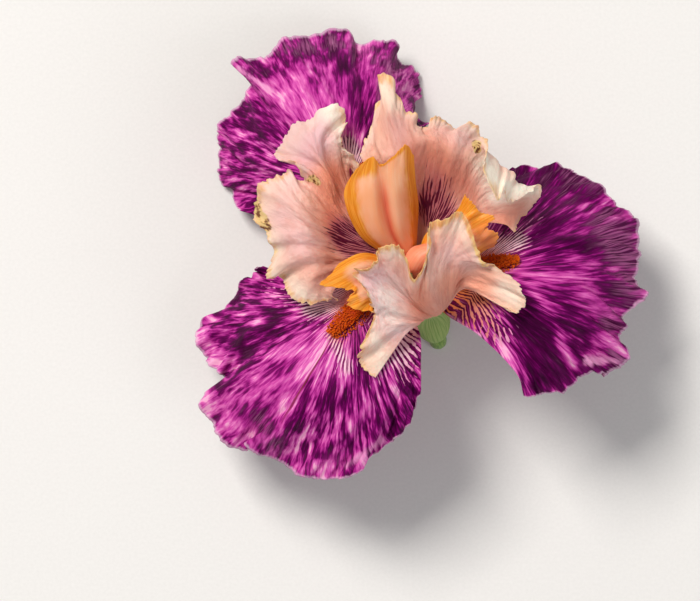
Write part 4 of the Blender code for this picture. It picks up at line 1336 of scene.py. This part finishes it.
# %% [markdown]
# The stem parts follow each other down the axis: the column that carries the arms and swells into their
# roots, the pale green tube, the ribbed ovary and the cut stub, which curves down to the table. The bloom
# rests on its back petal and this stub.


# %% Column
def green_finish(name, pale, fresh, roughness):
    """A plant skin: long fibres from pale to fresh green, with a faint waxy bloom."""
    made = finish(name, roughness, through=0.2)
    fibres = grain(9, 3, detail=3.0)
    spots = rise(grain(22, 40), 0.58, 0.7, most=0.35)
    tone = mix(rise(fibres, 0.35, 0.65), pale, fresh)
    dress(mix(spots, tone, (206, 214, 150)), fibres, 0.0002)
    return made


heights = np.array([0.3, 2.5, 5.0, 7.5])
shoulder_points = np.array([(-0.6, 4.8, 9.3), (1.4, 6.0, 11.8), (6.0, 8.8, 14.0)])
column_points = np.concatenate([heights[:, None] * AXIS, shoulder_points])
column_path = curve_through(column_points, even(7), even(60))
column_widths = np.array([1.45, 1.3, 1.4, 2.1, 4.0, 4.7, 3.2])
column_radii = curve_through(column_widths[:, None], even(7), even(60))[:, 0]
core = rod("column_core", column_path, column_radii, arm_finish, "style_column", lobing=0.04)
carry(core, groove=np.full(len(core.data.vertices), 0.55))

# %% Tube, ovary and stub
tube_finish = green_finish("pale_green_tube", (186, 196, 128), (150, 172, 92), 0.45)
ovary_finish = green_finish("green_ovary", (132, 166, 78), (92, 132, 52), 0.4)
STUB_RADIUS = 3.1
OVARY_RADIUS = 4.3
down = np.concatenate([[0.0, -1.44], np.linspace(-1.6, -15.6, 48)])
radii = np.concatenate([[4.6, 4.6], 3.4 + 2.6 * (1 - even(48)) ** 2.2])
rod(
    "tube_skin", down[:, None] * AXIS, radii, tube_finish, "perianth_tube",
    sides=48, lobes=6, lobing=0.015,
)
down = np.linspace(-15.9, -35.9, 60)
radii = np.linspace(3.2, STUB_RADIUS, 60)
radii = radii + (OVARY_RADIUS - radii) * np.sin(math.pi * even(60)) ** 0.8
rod("ovary_skin", down[:, None] * AXIS, radii, ovary_finish, "ovary", sides=60, lobing=0.07)
top = -36.2 * AXIS
run = even(40)[:, None]
bend = np.array([-0.24, 0.66, 0.0]) * (1 - 0.6 * run) + np.array([0.0, 0.0, 1.0])
stub_path = top - (THROAT[2] + top[2]) * run * bend
rod(
    "stub_skin", stub_path, np.full(40, STUB_RADIUS), ovary_finish, "stem_stub",
    sides=48, lobes=9, lobing=0.01, on_table=True,
)

# %% [markdown]
# Two papery bracts wrap the ovary. They are sheets bent round the axis that narrow to a point, green with
# pale dry edges.

# %% Bracts
bract_finish = finish("papery_green_bract", 0.6, through=0.3)
rib = grain(40, 2)
bract_green = mix(rise(rib, 0.35, 0.65), (126, 156, 78), (158, 178, 104))
dress(mix(mask("dry"), bract_green, (206, 196, 146)), rib, 0.0003)
bract_wide, bract_deep = shares(60, 44, 8)


def bract(side, heading, foot_radius, full_radius, foot_height, tip_height, seed):
    """A sheet round the axis with a half angle of 82 (1 - 0.97 run^2.4) degrees, standing off at its tip."""
    run, across = bract_deep[:, None], 1 - 2 * bract_wide[None, :]
    half_angle = 82 * (1 - 0.97 * run**2.4)
    height = foot_height + (tip_height - foot_height) * run + 0 * across
    radius = full_radius - (full_radius - foot_radius) * (1 - run) ** 5 + 2.4 * run**3 + 0 * across
    sheet = radial(heading + across * half_angle, radius, height)
    sheet = sheet + 0.06 * np.sin(26 * math.pi * bract_wide)[None, :, None] * normals_of(sheet, 1)
    half = thinning(bract_deep, 0.6, 0.3)
    masks = {"dry": np.clip(ramp_up(abs(across), 0.8, 1.0) + ramp_up(run, 0.8, 1.0), 0, 1)}
    name, node = "bract_" + side, "spathe_" + side
    blade(name, sheet, half, bract_wide, bract_deep, bract_finish, node, seed, masks)


seat = STUB_RADIUS + 0.5 * BLADE_THICK + PIECE_GAP
bract("outer", -70, seat, 6.7, -36.6, -11.0, 5)
bract("inner", 110, seat + 0.4, 5.6, -35.4, -8.0, 6)
